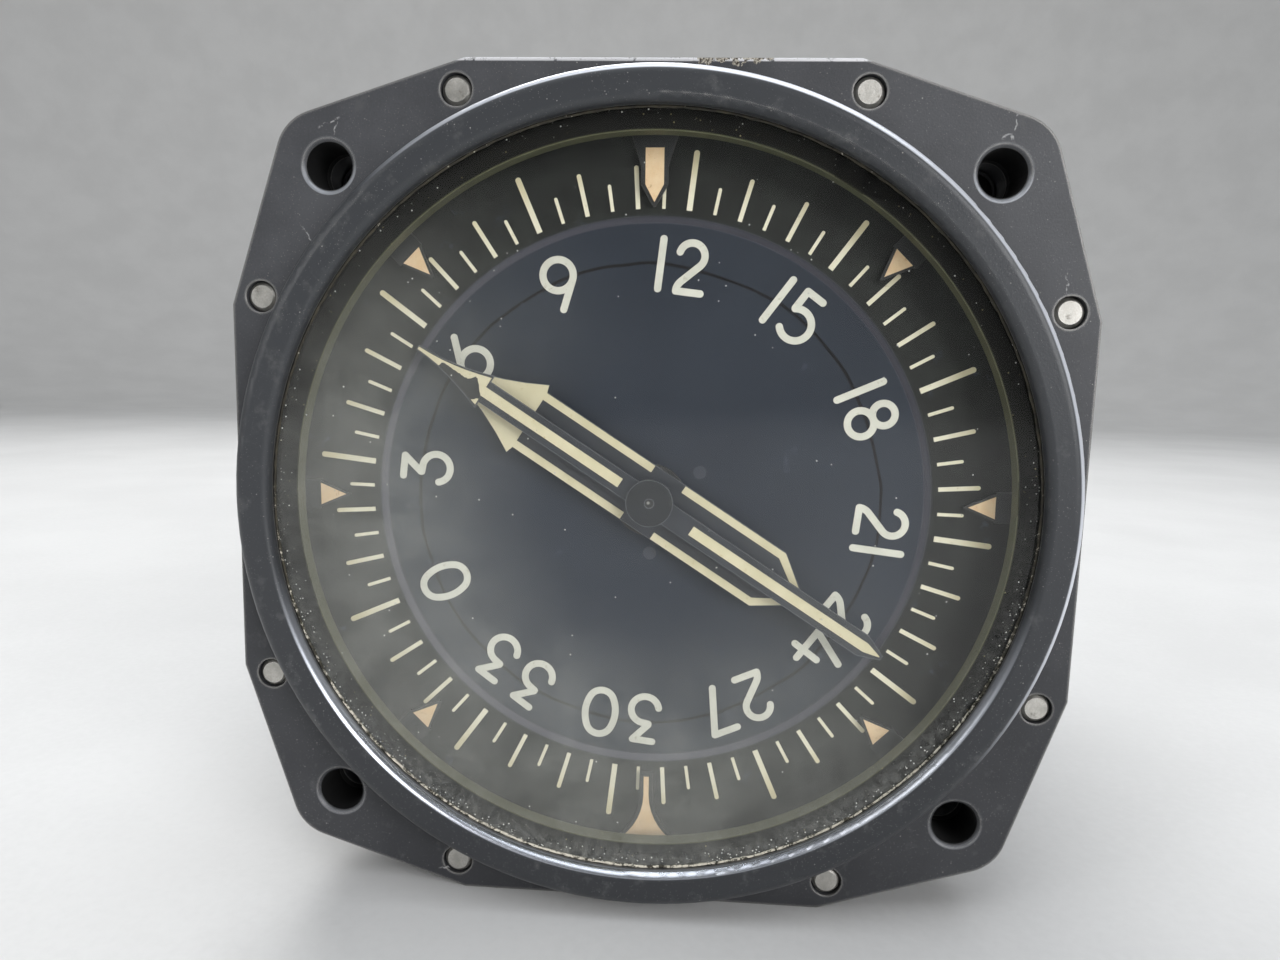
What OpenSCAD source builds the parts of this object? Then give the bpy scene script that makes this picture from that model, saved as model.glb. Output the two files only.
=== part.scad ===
// Radio magnetic indicator, 3 1/4 inch square flange, in millimetres.
// The face looks along -Y, +Z is up, and the origin is the centre of the
// mounting hole pattern on the front face of the flange.
// A drawing of the face is made in x (right) and y (up) as a viewer sees it,
// and a depth is a distance along +Y behind the front of the flange.

/* [Bezel] */
// Width of the flange across its flats
flange_w = 82.55; // [81:0.05:86]
// Thickness of the flange
flange_t = 4.8; // [3.5:0.1:6]
// Length of the straight middle part of each side
side_flat = 36.5; // [30:0.5:44]
// Drop from each flat to the corner point before rounding
corner_cut = 5.625; // [4:0.025:7]
// Radius of the rounded corners
corner_r = 4.6; // [3:0.1:6]
// Distance from the raised ring to the edge of the flange
ring_margin = 1.5875; // [1:0.0025:2]
// Height of the raised ring above the flange
ring_h = 4.3; // [3.8:0.1:6]
// Width of the raised ring from its outside to its window
ring_w = 3.39; // [3:0.01:4]
// Wall of the raised ring behind its lip
ring_wall = 1.79; // [1.4:0.01:2]
// Thickness of the lip that holds the glass
lip_t = 1.3; // [1:0.1:1.6]
// Rounding of the outer edge of the ring
ring_outer_round = 1.1; // [0.5:0.1:1.4]
// Rounding of the inner edge of the ring
ring_inner_round = 0.7; // [0.3:0.1:0.9]
// Distance from the middle of each mounting hole to the edge of the flange
mount_inset = 9.8425; // [9.5:0.0025:10.5]
// Diameter of the mounting holes
mount_d = 4.37; // [3.5:0.01:5]
// Bevel at the mouth of each mounting hole
mount_bevel = 0.35; // [0.1:0.05:0.6]

/* [Bezel screws] */
// Distance of each bezel screw from the edge of the flange
bezel_screw_inset = 2.858; // [2.6:0.002:3.2]
// Distance of each bezel screw from the middle of its side
bezel_screw_side = 19.07; // [18:0.01:20]
// Diameter of the bezel screws
bezel_screw_d = 2.84; // [2.4:0.01:3]
// Gap round a screw in its hole
screw_gap = 0.1; // [0.05:0.01:0.2]
// Diameter of the bezel screw heads
bezel_head_d = 5.2; // [4.4:0.1:5.6]
// Height of the bezel screw heads
bezel_head_h = 1.8; // [1:0.1:2.5]

/* [Glass and index ring] */
// Thickness of the glass
glass_t = 1.2; // [0.9:0.1:1.4]
// Gap round the glass in its bore
glass_gap = 0.15; // [0.05:0.01:0.3]
// Thickness of the rubber seal under the lip
seal_t = 0.3; // [0.2:0.05:0.5]
// Width of the ring behind the glass
glass_ring_w = 3.25; // [2.9:0.05:3.6]
// Thickness of the ring behind the glass
glass_ring_t = 1.55; // [1.2:0.05:1.7]
// Space between the ring behind the glass and the index plate
index_space = 1.55; // [1.4:0.05:1.8]
// Thickness of the index plate
index_t = 0.4; // [0.3:0.05:0.45]
// Width of the index plate between its tabs
index_w = 2.15; // [1.8:0.05:2.5]
// Turn of the index plate from upright, clockwise
index_turn = -0.7; // [-1.5:0.1:1.5]
// Thickness of painted marks
paint_t = 0.06; // [0.04:0.01:0.1]
// Thickness of the threaded ring that clamps the stack
clamp_t = 2.2; // [1.5:0.1:2.6]

/* [Card] */
// Space between the index plate and the card's outer track
card_space = 0.45; // [0.3:0.05:0.6]
// Depth of the middle of the card below its outer track
card_step = 0.5; // [0.3:0.05:0.6]
// Thickness of the card at its outer track
card_t = 1.3; // [1.1:0.1:1.5]
// Gap between the card's edge and the bore of the bezel
card_gap = 1.8; // [1.4:0.1:2]
// Width of the card's outer track
track_w = 8.5; // [8:0.1:9]
// Turn of the card's zero from straight up at rest, clockwise
card_turn = 246.07; // [0:0.01:359.99]
// Gap between the inner edge of the track and its tick marks
tick_gap = 0.7; // [0.5:0.05:1]
// Length of the five degree ticks
tick_5_len = 2.56; // [1.8:0.02:3.2]
// Length of the ten degree ticks
tick_10_len = 4.07; // [3.5:0.02:4.7]
// Length of the thirty degree ticks
tick_30_len = 5.64; // [4.9:0.02:5.9]
// Width of the five degree ticks
tick_5_w = 0.34; // [0.2:0.02:0.5]
// Width of the ten degree ticks
tick_10_w = 0.44; // [0.3:0.02:0.6]
// Width of the thirty degree ticks
tick_30_w = 0.56; // [0.4:0.02:0.8]
// Distance from the middle of the numbers to the outer track
number_inset = 4.5; // [4:0.1:5]
// Height of the numbers
number_h = 5.5; // [4.8:0.1:5.8]
// Stroke of the numbers
stroke_w = 0.72; // [0.5:0.02:0.9]

/* [Pointers] */
// Direction of the single bar pointer at rest, clockwise
single_turn = 302.3; // [0:0.1:359.9]
// Direction of the double bar pointer at rest, clockwise
double_turn = 302.3; // [0:0.1:359.9]
// Space between the two pointers
pointer_space = 0.9; // [0.6:0.05:1.1]
// Thickness of the pointers
pointer_t = 0.35; // [0.25:0.05:0.4]
// Gap between the single bar pointer's tip and the outer track
single_tip_gap = 0.4; // [0:0.1:3]
// Gap between the single bar pointer's tail and the outer track
single_tail_gap = 0.1; // [0:0.1:5]
// Width of the single bar pointer
single_w = 2.3; // [1.6:0.1:2.6]
// Width of the painted bar on the single bar pointer
single_bar_w = 1; // [0.6:0.05:1.4]
// Length of the single bar pointer's head
single_head_len = 7.8; // [7:0.1:9]
// Width of the single bar pointer's head
single_head_w = 3.1; // [2.6:0.1:3.6]
// Gap between the double bar pointer's tip and the outer track
double_tip_gap = 0.5; // [0:0.1:3]
// Length of the double bar pointer's head
double_head_len = 12.5; // [11:0.1:14]
// Width of the double bar pointer's head
double_head_w = 7.9; // [7.2:0.1:8.6]
// Width of the double bar pointer
double_w = 6.5; // [5.6:0.1:7]
// Width of each painted bar on the double bar pointer
double_bar_w = 0.78; // [0.5:0.02:1]
// Length of the pointed part of the double bar pointer's tail
double_tail_len = 4.4; // [3.5:0.1:5.5]
// Gap between the double bar pointer's tail and the outer track
double_tail_gap = 9.1; // [8:0.1:11]
// Gap between the double bar pointer's boss and the card
double_boss_gap = 0.45; // [0.3:0.05:0.6]
// Radius of the round boss on the single bar pointer
single_boss_r = 2.3; // [2:0.1:2.8]
// Height of the round boss on the single bar pointer
single_boss_h = 0.65; // [0.4:0.05:0.8]
// Radius of the round boss under the double bar pointer
double_boss_r = 3.6; // [3.3:0.1:4]
// Thickness of the round boss under the double bar pointer
double_boss_t = 0.7; // [0.4:0.05:0.75]

/* [Shafts and gears] */
// Radius of the single bar pointer's shaft
single_shaft_r = 1; // [0.8:0.05:1.1]
// Radius of the double bar pointer's hollow shaft
tube_r = 2.25; // [2:0.05:2.4]
// Radius of the card's sleeve
sleeve_r = 4; // [3.6:0.1:4.4]
// Running clearance of a shaft in its bore, on the radius
run_gap = 0.04; // [0.02:0.01:0.08]
// Gap between the outer gears and the shoulders of the case
gear_space = 0.35; // [0.25:0.05:1]
// Teeth of the large gears on the card, tube and synchros
gear_n = 44; // [42:1:46]
// Teeth of the pinions
pinion_n = 14; // [13:1:16]
// Teeth of the idler's large gear
idler_n = 36; // [32:1:38]
// Thickness of the gears
gear_t = 1.6; // [1.2:0.1:2]
// Play between meshed teeth
backlash = 0.08; // [0.06:0.01:0.12]

/* [Drive units] */
// Space between neighbouring synchros
unit_space = 2.95; // [2.5:0.05:4]
// Length of the synchros and the servo motor
unit_len = 31; // [28:0.5:34]
// Width of the step round the pilot boss on the front of each unit
pilot_step = 3.175; // [2.5:0.025:4]
// Length of the pilot boss
pilot_h = 1.2; // [0.8:0.1:1.5]
// Thickness of the stator windings
stator_w = 2.325; // [1.8:0.025:3]
// Air gap round a rotor
air_gap = 0.35; // [0.2:0.05:0.6]
// Wall of a unit's can
unit_wall = 0.9; // [0.7:0.1:1.2]
// Radius of the shafts of the outer units and the idler
unit_shaft_r = 1.15; // [1:0.05:1.3]

/* [Frame] */
// Space between the back of the card and the front plate
front_plate_space = 5.25; // [4.8:0.05:6]
// Thickness of the front plate
front_plate_t = 2.5; // [2:0.1:3]
// Space for the gears between the front plate and the gear plate
gear_bay = 11.5; // [11:0.1:13]
// Thickness of the gear plate
gear_plate_t = 3; // [2.6:0.1:4]
// Thickness of the rear plate
rear_plate_t = 2; // [1.5:0.1:3]
// Gap between the units and the rear plate
rear_plate_gap = 1.2; // [0.6:0.1:2]
// Radius of the frame pillars
pillar_r = 2.5; // [2:0.1:2.8]
// Gap between the frame plates and the case
plate_gap = 0.2; // [0.1:0.05:0.4]
// Height of the circuit board above the rear plate
board_gap = 5.5; // [4:0.5:8]
// Thickness of the circuit board
board_t = 1.6; // [1.2:0.1:2.4]
// Gap from the long sides of the circuit board to the shoulders of the case
board_side_gap = 5.8; // [4.6:0.1:7]
// Gap from the ends of the circuit board to the shoulders of the case
board_end_gap = 2.8; // [2:0.1:4]

/* [Case] */
// Distance from the case to the edge of the flange
case_margin = 1.875; // [1.6:0.025:2.1]
// Wall of the case
case_wall = 1.6; // [1.2:0.1:1.7]
// Thickness of the case's front flange
case_flange_t = 3.2; // [2.6:0.1:4]
// Thickness of the gasket between the bezel and the case
gasket_t = 0.8; // [0.5:0.1:1.2]
// Length of the case
case_len = 90.4; // [88:0.2:110]
// Width of the shoulders inside the case
shoulder_w = 4; // [3.8:0.1:4.2]
// Thickness of the rear cover
cover_t = 3; // [2.4:0.1:4]
// Number of rear cover screws
cover_screws_n = 6; // [4:1:10]
// Diameter of the small frame and cover screws
small_screw_d = 2.2; // [1.8:0.1:2.3]
// Diameter of the small screw heads
small_head_d = 3.8; // [3.2:0.1:4]
// Height of the small screw heads
small_head_h = 1.4; // [1:0.1:1.6]

/* [Connector] */
// Outer diameter of the connector's coupling barrel
barrel_d = 28.58; // [27:0.01:30]
// Length of the coupling barrel
barrel_len = 14; // [10:0.5:18]
// Wall of the coupling barrel
barrel_wall = 2; // [1.6:0.1:2.4]
// Width of the connector's square flange
con_flange_w = 35; // [34:0.5:38]
// Thickness of the connector's square flange
con_flange_t = 2.2; // [1.6:0.1:3]
// Distance from the connector's screws to the edge of its flange
con_screw_inset = 4; // [3:0.1:4.2]
// Depth of the insert below the barrel's mouth
insert_recess = 6; // [5:0.5:8]
// Spacing of the contacts
contact_pitch = 4; // [3.6:0.1:4.2]
// Radius of the contacts
contact_r = 1.1; // [0.9:0.05:1.3]
// Radius of the hole in each contact
contact_bore_r = 0.6; // [0.5:0.05:0.7]

/* [Hidden] */
$fn = 64;

// Overshoot of every cut past the face that it opens
cut = 1;
pressure_angle = 20;
corner_steps = 8;

ring_r = flange_w / 2 - ring_margin;
window_r = ring_r - ring_w;
bezel_bore_r = ring_r - ring_wall;
mount_pitch = flange_w - 2 * mount_inset;
stack_r = bezel_bore_r - glass_gap;
glass_ring_r = stack_r - glass_ring_w;
index_r = stack_r - index_w;
card_r = bezel_bore_r - card_gap;
track_r = card_r - track_w;
tick_r = track_r + tick_gap;
number_r = track_r - number_inset;
single_tip = track_r - single_tip_gap;
single_tail = track_r - single_tail_gap;
single_head = single_tip - single_head_len;
double_tip = track_r - double_tip_gap;
double_tail = track_r - double_tail_gap;
double_head = double_tip - double_head_len;
double_shoulder = double_tail - double_tail_len;

lip_back = lip_t - ring_h;
glass_front = lip_back + seal_t;
glass_back = glass_front + glass_t;
glass_ring_back = glass_back + glass_ring_t;
index_front = glass_ring_back + index_space;
index_back = index_front + index_t;
card_front = index_back + card_space;
card_back = card_front + card_t;
card_middle = card_front + card_step;
double_front = card_middle - double_boss_gap - double_boss_t - pointer_t;
single_front = double_front - pointer_t - pointer_space;
front_plate_front = card_back + front_plate_space;
front_plate_back = front_plate_front + front_plate_t;
gear_plate_front = front_plate_back + gear_bay;
case_front = flange_t + gasket_t;
case_back = case_front + case_len;

case_r = flange_w / 2 - case_margin;
case_in_r = case_r - case_wall;
shoulder_r = case_in_r - shoulder_w;
shoulder_mid_r = case_in_r - shoulder_w / 2;
frame_r = shoulder_r - plate_gap;
pillar_reach = frame_r - pillar_r;
sleeve_flange_t = 1;
sleeve_flange_r = sleeve_r + 4;

// How far a tooth's tip and root lie from the pitch circle, in modules
addendum = 0.9;
dedendum = 1.25;
// The outer gears, three radii out from the middle, reach nearly to the shoulders
gear_m = (shoulder_r - gear_space) / (1.5 * gear_n + addendum);
gear_r = gear_m * gear_n / 2;
pinion_r = gear_m * pinion_n / 2;
idler_r = gear_m * idler_n / 2;
unit_reach = 2 * gear_r;
unit_r = (unit_reach - unit_space) / 2;
unit_front = gear_plate_front + gear_plate_t;
unit_back = unit_front + unit_len;
// Spaces in front of the card gear and between the three layers of gears
gear_front_space = 1.5;
layer_space = 1.4;
sleeve_step = 0.4;
tube_step = 1;
card_gear_front = front_plate_back + gear_front_space;
idler_gear_front = card_gear_front + gear_t + layer_space;
double_gear_front = idler_gear_front + gear_t + layer_space;
sleeve_back = card_gear_front + gear_t + sleeve_step;
tube_back = gear_plate_front + tube_step;

// The idler stands where its pinion meets the card gear and its large gear the motor
idler_reach = gear_r + pinion_r;
motor_to_idler = idler_r + pinion_r;
idler_angle = 90 - acos((pow(idler_reach, 2) + pow(unit_reach, 2) - pow(motor_to_idler, 2))
    / (2 * idler_reach * unit_reach));
idler_at = idler_reach * [cos(idler_angle), sin(idler_angle)];
double_at = [unit_reach, 0];
card_drive_at = [-unit_reach, 0];
motor_at = [0, unit_reach];
motor_line = atan2(motor_at.y - idler_at.y, motor_at.x - idler_at.x);

rear_plate_front = unit_back + rear_plate_gap;
rear_plate_back = rear_plate_front + rear_plate_t;
board_front = rear_plate_back + board_gap;
board_back = board_front + board_t;
cover_back = case_back + cover_t;
con_pitch = con_flange_w - 2 * con_screw_inset;
con_flange_back = cover_back + con_flange_t;
barrel_r = barrel_d / 2;
barrel_in_r = barrel_r - barrel_wall;
barrel_back = con_flange_back + barrel_len;
insert_back = barrel_back - insert_recess;
// How far the insert and its contacts reach into the case
insert_reach = 5;
contact_tail = 3;
insert_front = case_back - insert_reach;
contact_front = insert_front - contact_tail;

bezel_hole_r = bezel_screw_d / 2 + screw_gap;
small_r = small_screw_d / 2;
small_hole_r = small_r + screw_gap;
small_head_r = small_head_d / 2;
// Depth of the tapped holes for the rear cover's screws
cover_tap = 5;
// Space left under the tip of a screw
tip_space = 0.5;
// Overlap of two shapes that make one solid
join = 0.1;
// Distance from the end of a unit's shaft to the back of its can
shaft_end_gap = 1;
// How far a gear's shaft stands out in front of it
shaft_stub = 0.4;
// How far a gear's hub stands out behind it
hub_step = 1;
drive_hub_r = 3;
hub_wall = 1.5;

// Turned, drawn and placed shapes

// Extrudes a face drawing from one depth to another
module slab(front, back) {
    translate([0, back, 0]) rotate([90, 0, 0]) linear_extrude(back - front) children();
}

// Turns a profile of radius and depth round the Y axis
module turned() {
    rotate([90, 0, 0]) rotate_extrude() mirror([0, 1]) children();
}

// A round bar along Y, from one depth to another
module rod(r, front, back, at = [0, 0]) {
    translate([at.x, back, at.y]) rotate([90, 0, 0]) cylinder(r = r, h = back - front);
}

// A bevelled bar along Y, with a radius at each depth
module cone(r_front, r_back, front, back, at = [0, 0]) {
    translate([at.x, back, at.y]) rotate([90, 0, 0])
        cylinder(r1 = r_back, r2 = r_front, h = back - front);
}

module tube(r_out, r_in, front, back, at = [0, 0]) {
    difference() {
        rod(r_out, front, back, at);
        rod(r_in, front - cut, back + cut, at);
    }
}

// Places evenly round a circle, anticlockwise from the right
function ring_of(n, r, start = 0) = [
    for (i = [0 : n - 1]) let (a = start + i * 360 / n) r * [cos(a), sin(a)]
];
function square_of(pitch) = [for (x = [-1, 1], y = [-1, 1]) pitch / 2 * [x, y]];

bezel_screw_reach = flange_w / 2 - bezel_screw_inset;
bezel_screws_at = [
    for (s = [-1, 1], t = [-1, 1])
        each [[s * bezel_screw_side, t * bezel_screw_reach], [t * bezel_screw_reach, s * bezel_screw_side]]
];
mounts_at = square_of(mount_pitch);
pillars_at = ring_of(4, pillar_reach, 45);
units_at = [[0, 0], double_at, card_drive_at, motor_at];

// Pan head screw that enters towards -Y, with a straight slot in its head
module screw(r, head_r, head_h, tip, seat, at, bevel = 0) {
    difference() {
        union() {
            rod(r, tip + bevel, seat, at);
            if (bevel > 0) cone(r - bevel, r, tip, tip + bevel, at);
            rod(head_r, seat, seat + head_h, at);
        }
        translate([at.x, seat + head_h, at.y]) cube([3 * head_r, head_h, head_r / 3], center = true);
    }
}

// The same screw facing the other way, entering towards +Y
module screw_in(r, head_r, head_h, seat, tip, at) {
    difference() {
        union() {
            rod(r, seat, tip, at);
            rod(head_r, seat - head_h, seat, at);
        }
        translate([at.x, seat - head_h, at.y]) cube([3 * head_r, head_h, head_r / 3], center = true);
    }
}

// Flange outline: four flats, four pairs of angled edges and four rounded corners
module flange_outline() {
    side = flange_w / 2;
    corner_reach = side - corner_cut;
    slant = atan2(corner_cut, corner_reach - side_flat / 2);
    // Half the turn from one edge to the next at a corner
    half = 45 - slant;
    middle = corner_reach - corner_r / cos(half) / sqrt(2);
    corner = [for (i = [0 : corner_steps])
        let (t = 45 + half * (1 - 2 * i / corner_steps)) [middle, middle] + corner_r * [cos(t), sin(t)]];
    quarter = concat([[-side_flat / 2, side], [side_flat / 2, side]], corner);
    polygon([
        for (q = [0 : 90 : 270], p = quarter)
            [p.x * cos(q) + p.y * sin(q), p.y * cos(q) - p.x * sin(q)]
    ]);
}

// Case and bezel

module bezel() {
    color([0.13, 0.13, 0.14]) difference() {
        union() {
            slab(0, flange_t) flange_outline();
            turned() difference() {
                translate([window_r, -ring_h]) square([ring_w, ring_h + flange_t / 2]);
                edge_cut(ring_r, -ring_h, ring_outer_round, -1);
                edge_cut(window_r, -ring_h, ring_inner_round, 1);
            }
        }
        rod(bezel_bore_r, lip_back, flange_t + cut);
        rod(window_r, -ring_h - cut, 0);
        for (p = mounts_at) {
            rod(mount_d / 2, -cut, flange_t + cut, p);
            cone(mount_d / 2 + mount_bevel + cut, mount_d / 2, -cut, mount_bevel, p);
        }
        for (p = bezel_screws_at) rod(bezel_hole_r, -cut, flange_t + cut, p);
    }
}

// What a rounded edge takes off a square corner of a turned profile
module edge_cut(r, depth, round, side) {
    difference() {
        translate([side > 0 ? r - cut : r - round, depth - cut]) square([round + cut, round + cut]);
        translate([r + side * round, depth + round]) circle(r = round);
    }
}

case_flange_back = case_front + case_flange_t;
// How far the screw tips lie below the flange's front
bezel_screw_sink = 0.15;
bezel_screw_bevel = 0.35;

module bezel_screws() {
    color("silver") for (p = bezel_screws_at)
        screw(bezel_screw_d / 2, bezel_head_d / 2, bezel_head_h, bezel_screw_sink, case_flange_back, p,
            bezel_screw_bevel);
}

module case_gasket() {
    color([0.1, 0.1, 0.1]) difference() {
        slab(flange_t, case_front) flange_outline();
        rod(case_in_r, flange_t - cut, case_front + cut);
        for (p = mounts_at) rod(mount_d / 2, flange_t - cut, case_front + cut, p);
        for (p = bezel_screws_at) rod(bezel_hole_r, flange_t - cut, case_front + cut, p);
    }
}

front_shoulder_t = 3;
rear_shoulder_t = 7;
cover_screws_at = ring_of(cover_screws_n, shoulder_mid_r, 30);
frame_screws_at = ring_of(4, shoulder_mid_r, 22.5);

module case_can() {
    color([0.12, 0.12, 0.13]) difference() {
        union() {
            slab(case_front, case_flange_back) flange_outline();
            rod(case_r, case_front, case_back);
        }
        rod(case_in_r, case_front - cut, front_plate_back);
        rod(shoulder_r, front_plate_back - cut, case_back + cut);
        rod(case_in_r, front_plate_back + front_shoulder_t, case_back - rear_shoulder_t);
        for (p = mounts_at) rod(mount_d / 2, case_front - cut, case_flange_back + cut, p);
        for (p = bezel_screws_at) rod(bezel_hole_r, case_front - cut, case_flange_back + cut, p);
        for (p = frame_screws_at)
            rod(small_r, front_plate_back - cut, front_plate_back + front_shoulder_t + cut, p);
        for (p = cover_screws_at) rod(small_r, case_back - cover_tap, case_back + cut, p);
    }
}

cover_seal_w = 0.8;
cover_seal_t = 0.6;
con_back_shell_r = barrel_in_r + 1;
con_shell_gap = 0.2;

module rear_cover() {
    color([0.12, 0.12, 0.13]) difference() {
        union() {
            rod(case_r, case_back + cover_seal_t, cover_back);
            rod(case_r - cover_seal_w, case_back, case_back + cover_seal_t + join);
        }
        rod(con_back_shell_r + con_shell_gap, case_back - cut, cover_back + cut);
        for (p = cover_screws_at) rod(small_hole_r, case_back - cut, cover_back + cut, p);
        for (p = square_of(con_pitch)) rod(small_r, case_back - cut, cover_back + cut, p);
    }
}

module cover_seal() {
    color([0.08, 0.08, 0.08])
        tube(case_r, case_r - cover_seal_w, case_back, case_back + cover_seal_t);
}

module cover_screws() {
    color("silver") for (p = cover_screws_at)
        screw(small_r, small_head_r, small_head_h, case_back - cover_tap + tip_space, cover_back, p);
}

// Connector

con_corner_cut = 1.4;
insert_gap = 0.05;
// How far the insert stands out of the shell inside the case
shell_lip = 1;
contact_bore = 6;
key_w = 2.4;
key_h = 1.5;
key_depth = 1;

module connector_shell() {
    corner_w = 4 * con_corner_cut;
    color([0.45, 0.46, 0.4]) difference() {
        union() {
            slab(cover_back, con_flange_back) difference() {
                square(con_flange_w, center = true);
                for (q = [45 : 90 : 315]) rotate(q)
                    translate([con_flange_w / sqrt(2) - con_corner_cut, -corner_w / 2]) square(corner_w);
            }
            rod(barrel_r, con_flange_back - join, barrel_back);
            rod(con_back_shell_r, insert_front + shell_lip, cover_back + join);
        }
        rod(barrel_in_r, insert_front, barrel_back + cut);
        for (p = square_of(con_pitch)) rod(small_hole_r, cover_back - cut, con_flange_back + cut, p);
    }
}

outer_contacts_r = 2 * contact_pitch * cos(15);
contacts_at = concat([[0, 0]], ring_of(6, contact_pitch), ring_of(12, outer_contacts_r, 15));

module connector_insert() {
    color([0.15, 0.14, 0.13]) difference() {
        rod(barrel_in_r - insert_gap, insert_front, insert_back);
        for (p = contacts_at) rod(contact_r, insert_front - cut, insert_back + cut, p);
        translate([0, insert_back, barrel_in_r]) cube([key_w, 2 * key_depth, 2 * key_h], center = true);
    }
}

module connector_contacts() {
    color("goldenrod") for (p = contacts_at) difference() {
        rod(contact_r, contact_front, insert_back, p);
        rod(contact_bore_r, insert_back - contact_bore, insert_back + cut, p);
    }
}

module connector_screws() {
    color("silver") for (p = square_of(con_pitch))
        screw(small_r, small_head_r, small_head_h, case_back + tip_space, con_flange_back, p);
}

// Window stack

module glass_seal() {
    color([0.05, 0.05, 0.05]) tube(stack_r, window_r, lip_back, glass_front);
}

module cover_glass() {
    color([0.75, 0.8, 0.75, 0.3]) rod(stack_r, glass_front, glass_back);
}

module glass_ring() {
    color([0.1, 0.1, 0.08]) tube(stack_r, glass_ring_r, glass_back, glass_ring_back);
}

// The marks are placed by their distances inside the index plate's edge
index_tip_r = index_r - 4.65;
index_base_r = index_r - 2.05;
index_base_w = 2.2;
lubber_tip_r = index_r - 6.85;
lubber_neck_r = index_r - 5.2;
lubber_top_r = index_r - 1.85;
lubber_w = 1.78;
tail_tip_r = index_r - 6.65;
tail_neck_r = index_r - 4.7;
tail_base_r = index_r + 0.2;
tail_neck_w = 0.54;
tail_flare_r = 6.2;
tail_steps = 6;
tab_margin = 0.4;
// How far the tabs run into the ring of the index plate
tab_root = 0.5;
lubber_root_w = 5.2;
spacer_w = 0.8;

// A triangle that points at the middle of the face
module index_triangle(margin = 0) {
    polygon([
        [-index_base_w / 2 - margin, index_base_r + margin],
        [index_base_w / 2 + margin, index_base_r + margin],
        [0.2 * margin, index_tip_r - margin], [-0.2 * margin, index_tip_r - margin]
    ]);
}

module lubber_mark(margin = 0) {
    w = lubber_w / 2 + margin;
    polygon([
        [-w, lubber_top_r], [w, lubber_top_r], [w, lubber_neck_r],
        [0.3 * margin, lubber_tip_r - margin], [-0.3 * margin, lubber_tip_r - margin], [-w, lubber_neck_r]
    ]);
}

// A narrow neck that flares with two hollow sides towards the rim
module tail_mark(margin = 0) {
    neck = tail_neck_w / 2 + margin;
    turn = asin((tail_base_r - tail_neck_r) / tail_flare_r);
    flare = [
        for (i = [0 : tail_steps]) let (t = turn * i / tail_steps)
            [neck + tail_flare_r * (1 - cos(t)), tail_neck_r + tail_flare_r * sin(t)]
    ];
    polygon(both_sides(concat([[neck, tail_tip_r - margin]], flare)));
}

module index_tabs() {
    for (a = [45, 90, 135, 225, 270, 315]) rotate(-a) {
        index_triangle(tab_margin);
        translate([-index_base_w / 2 - tab_margin, index_base_r])
            square([index_base_w + 2 * tab_margin, index_r - index_base_r + tab_root]);
    }
    lubber_mark(tab_margin);
    polygon(both_sides([
        [lubber_w / 2, lubber_neck_r + tab_margin],
        [lubber_root_w / 2, index_r + tab_root]
    ]));
    rotate(180) tail_mark(tab_margin);
}

module index_ring() {
    color([0.09, 0.09, 0.09]) {
        slab(index_front, index_back) {
            difference() {
                circle(r = stack_r);
                circle(r = index_r);
            }
            rotate(-index_turn) index_tabs();
        }
        tube(stack_r, stack_r - spacer_w, glass_ring_back, index_front + index_t / 2);
    }
}

module index_marks() {
    color([0.85, 0.66, 0.45]) slab(index_front - paint_t, index_front) rotate(-index_turn) {
        for (a = [45, 90, 135, 225, 270, 315]) rotate(-a) index_triangle();
        lubber_mark();
        rotate(180) tail_mark();
    }
}

// Gap between the clamp ring and the card
clamp_gap = 0.5;
// Width and depth of the slots for the key that turns the clamp ring
clamp_slot = 1.6;

module clamp_ring() {
    color([0.2, 0.2, 0.2]) difference() {
        tube(bezel_bore_r, card_r + clamp_gap, index_back, index_back + clamp_t);
        for (a = [0, 90]) rotate([0, a, 0]) translate([0, index_back + clamp_t, 0])
            cube([clamp_slot, clamp_slot, 3 * bezel_bore_r], center = true);
    }
}

// Compass card

// Gap between the card's bore and the double bar pointer's shaft
card_bore_gap = 0.5;
card_screw_r = 0.6;
card_screw_head_r = 1;
card_screw_head_h = 0.6;
card_screws_at = ring_of(3, (sleeve_r + sleeve_flange_r) / 2 - 0.4, 30);
sleeve_flange_back = card_back + sleeve_flange_t;

module card_disc() {
    bore_r = tube_r + card_bore_gap;
    color([0.2, 0.21, 0.22]) difference() {
        turned() polygon([
            [bore_r, card_middle], [track_r - card_step, card_middle], [track_r, card_front],
            [card_r, card_front], [card_r, card_back], [bore_r, card_back]
        ]);
        for (p = card_screws_at) rod(card_screw_r, card_front - cut, card_back + cut, p);
    }
}

module card_screws() {
    color([0.1, 0.1, 0.1]) for (p = card_screws_at) {
        rod(card_screw_r, card_middle, sleeve_flange_back, p);
        rod(card_screw_head_r, sleeve_flange_back, sleeve_flange_back + card_screw_head_h, p);
    }
}

// One tick with a round outer end
module tick(len, w) {
    translate([-w / 2, tick_r]) square([w, len - w / 2]);
    translate([0, tick_r + len - w / 2]) circle(d = w);
}

module card_ticks() {
    color([0.85, 0.82, 0.6]) slab(card_front - paint_t, card_front)
        for (a = [0 : 5 : 355]) rotate(-a - card_turn)
            if (a % 30 == 0) tick(tick_30_len, tick_30_w);
            else if (a % 10 == 0) tick(tick_10_len, tick_10_w);
            else tick(tick_5_len, tick_5_w);
}

// One straight stroke with round ends
module bar(p, q) {
    d = q - p;
    translate(p) rotate(atan2(d.y, d.x)) translate([0, -stroke_w / 2]) square([norm(d), stroke_w]);
    for (e = [p, q]) translate(e) circle(d = stroke_w);
}

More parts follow.
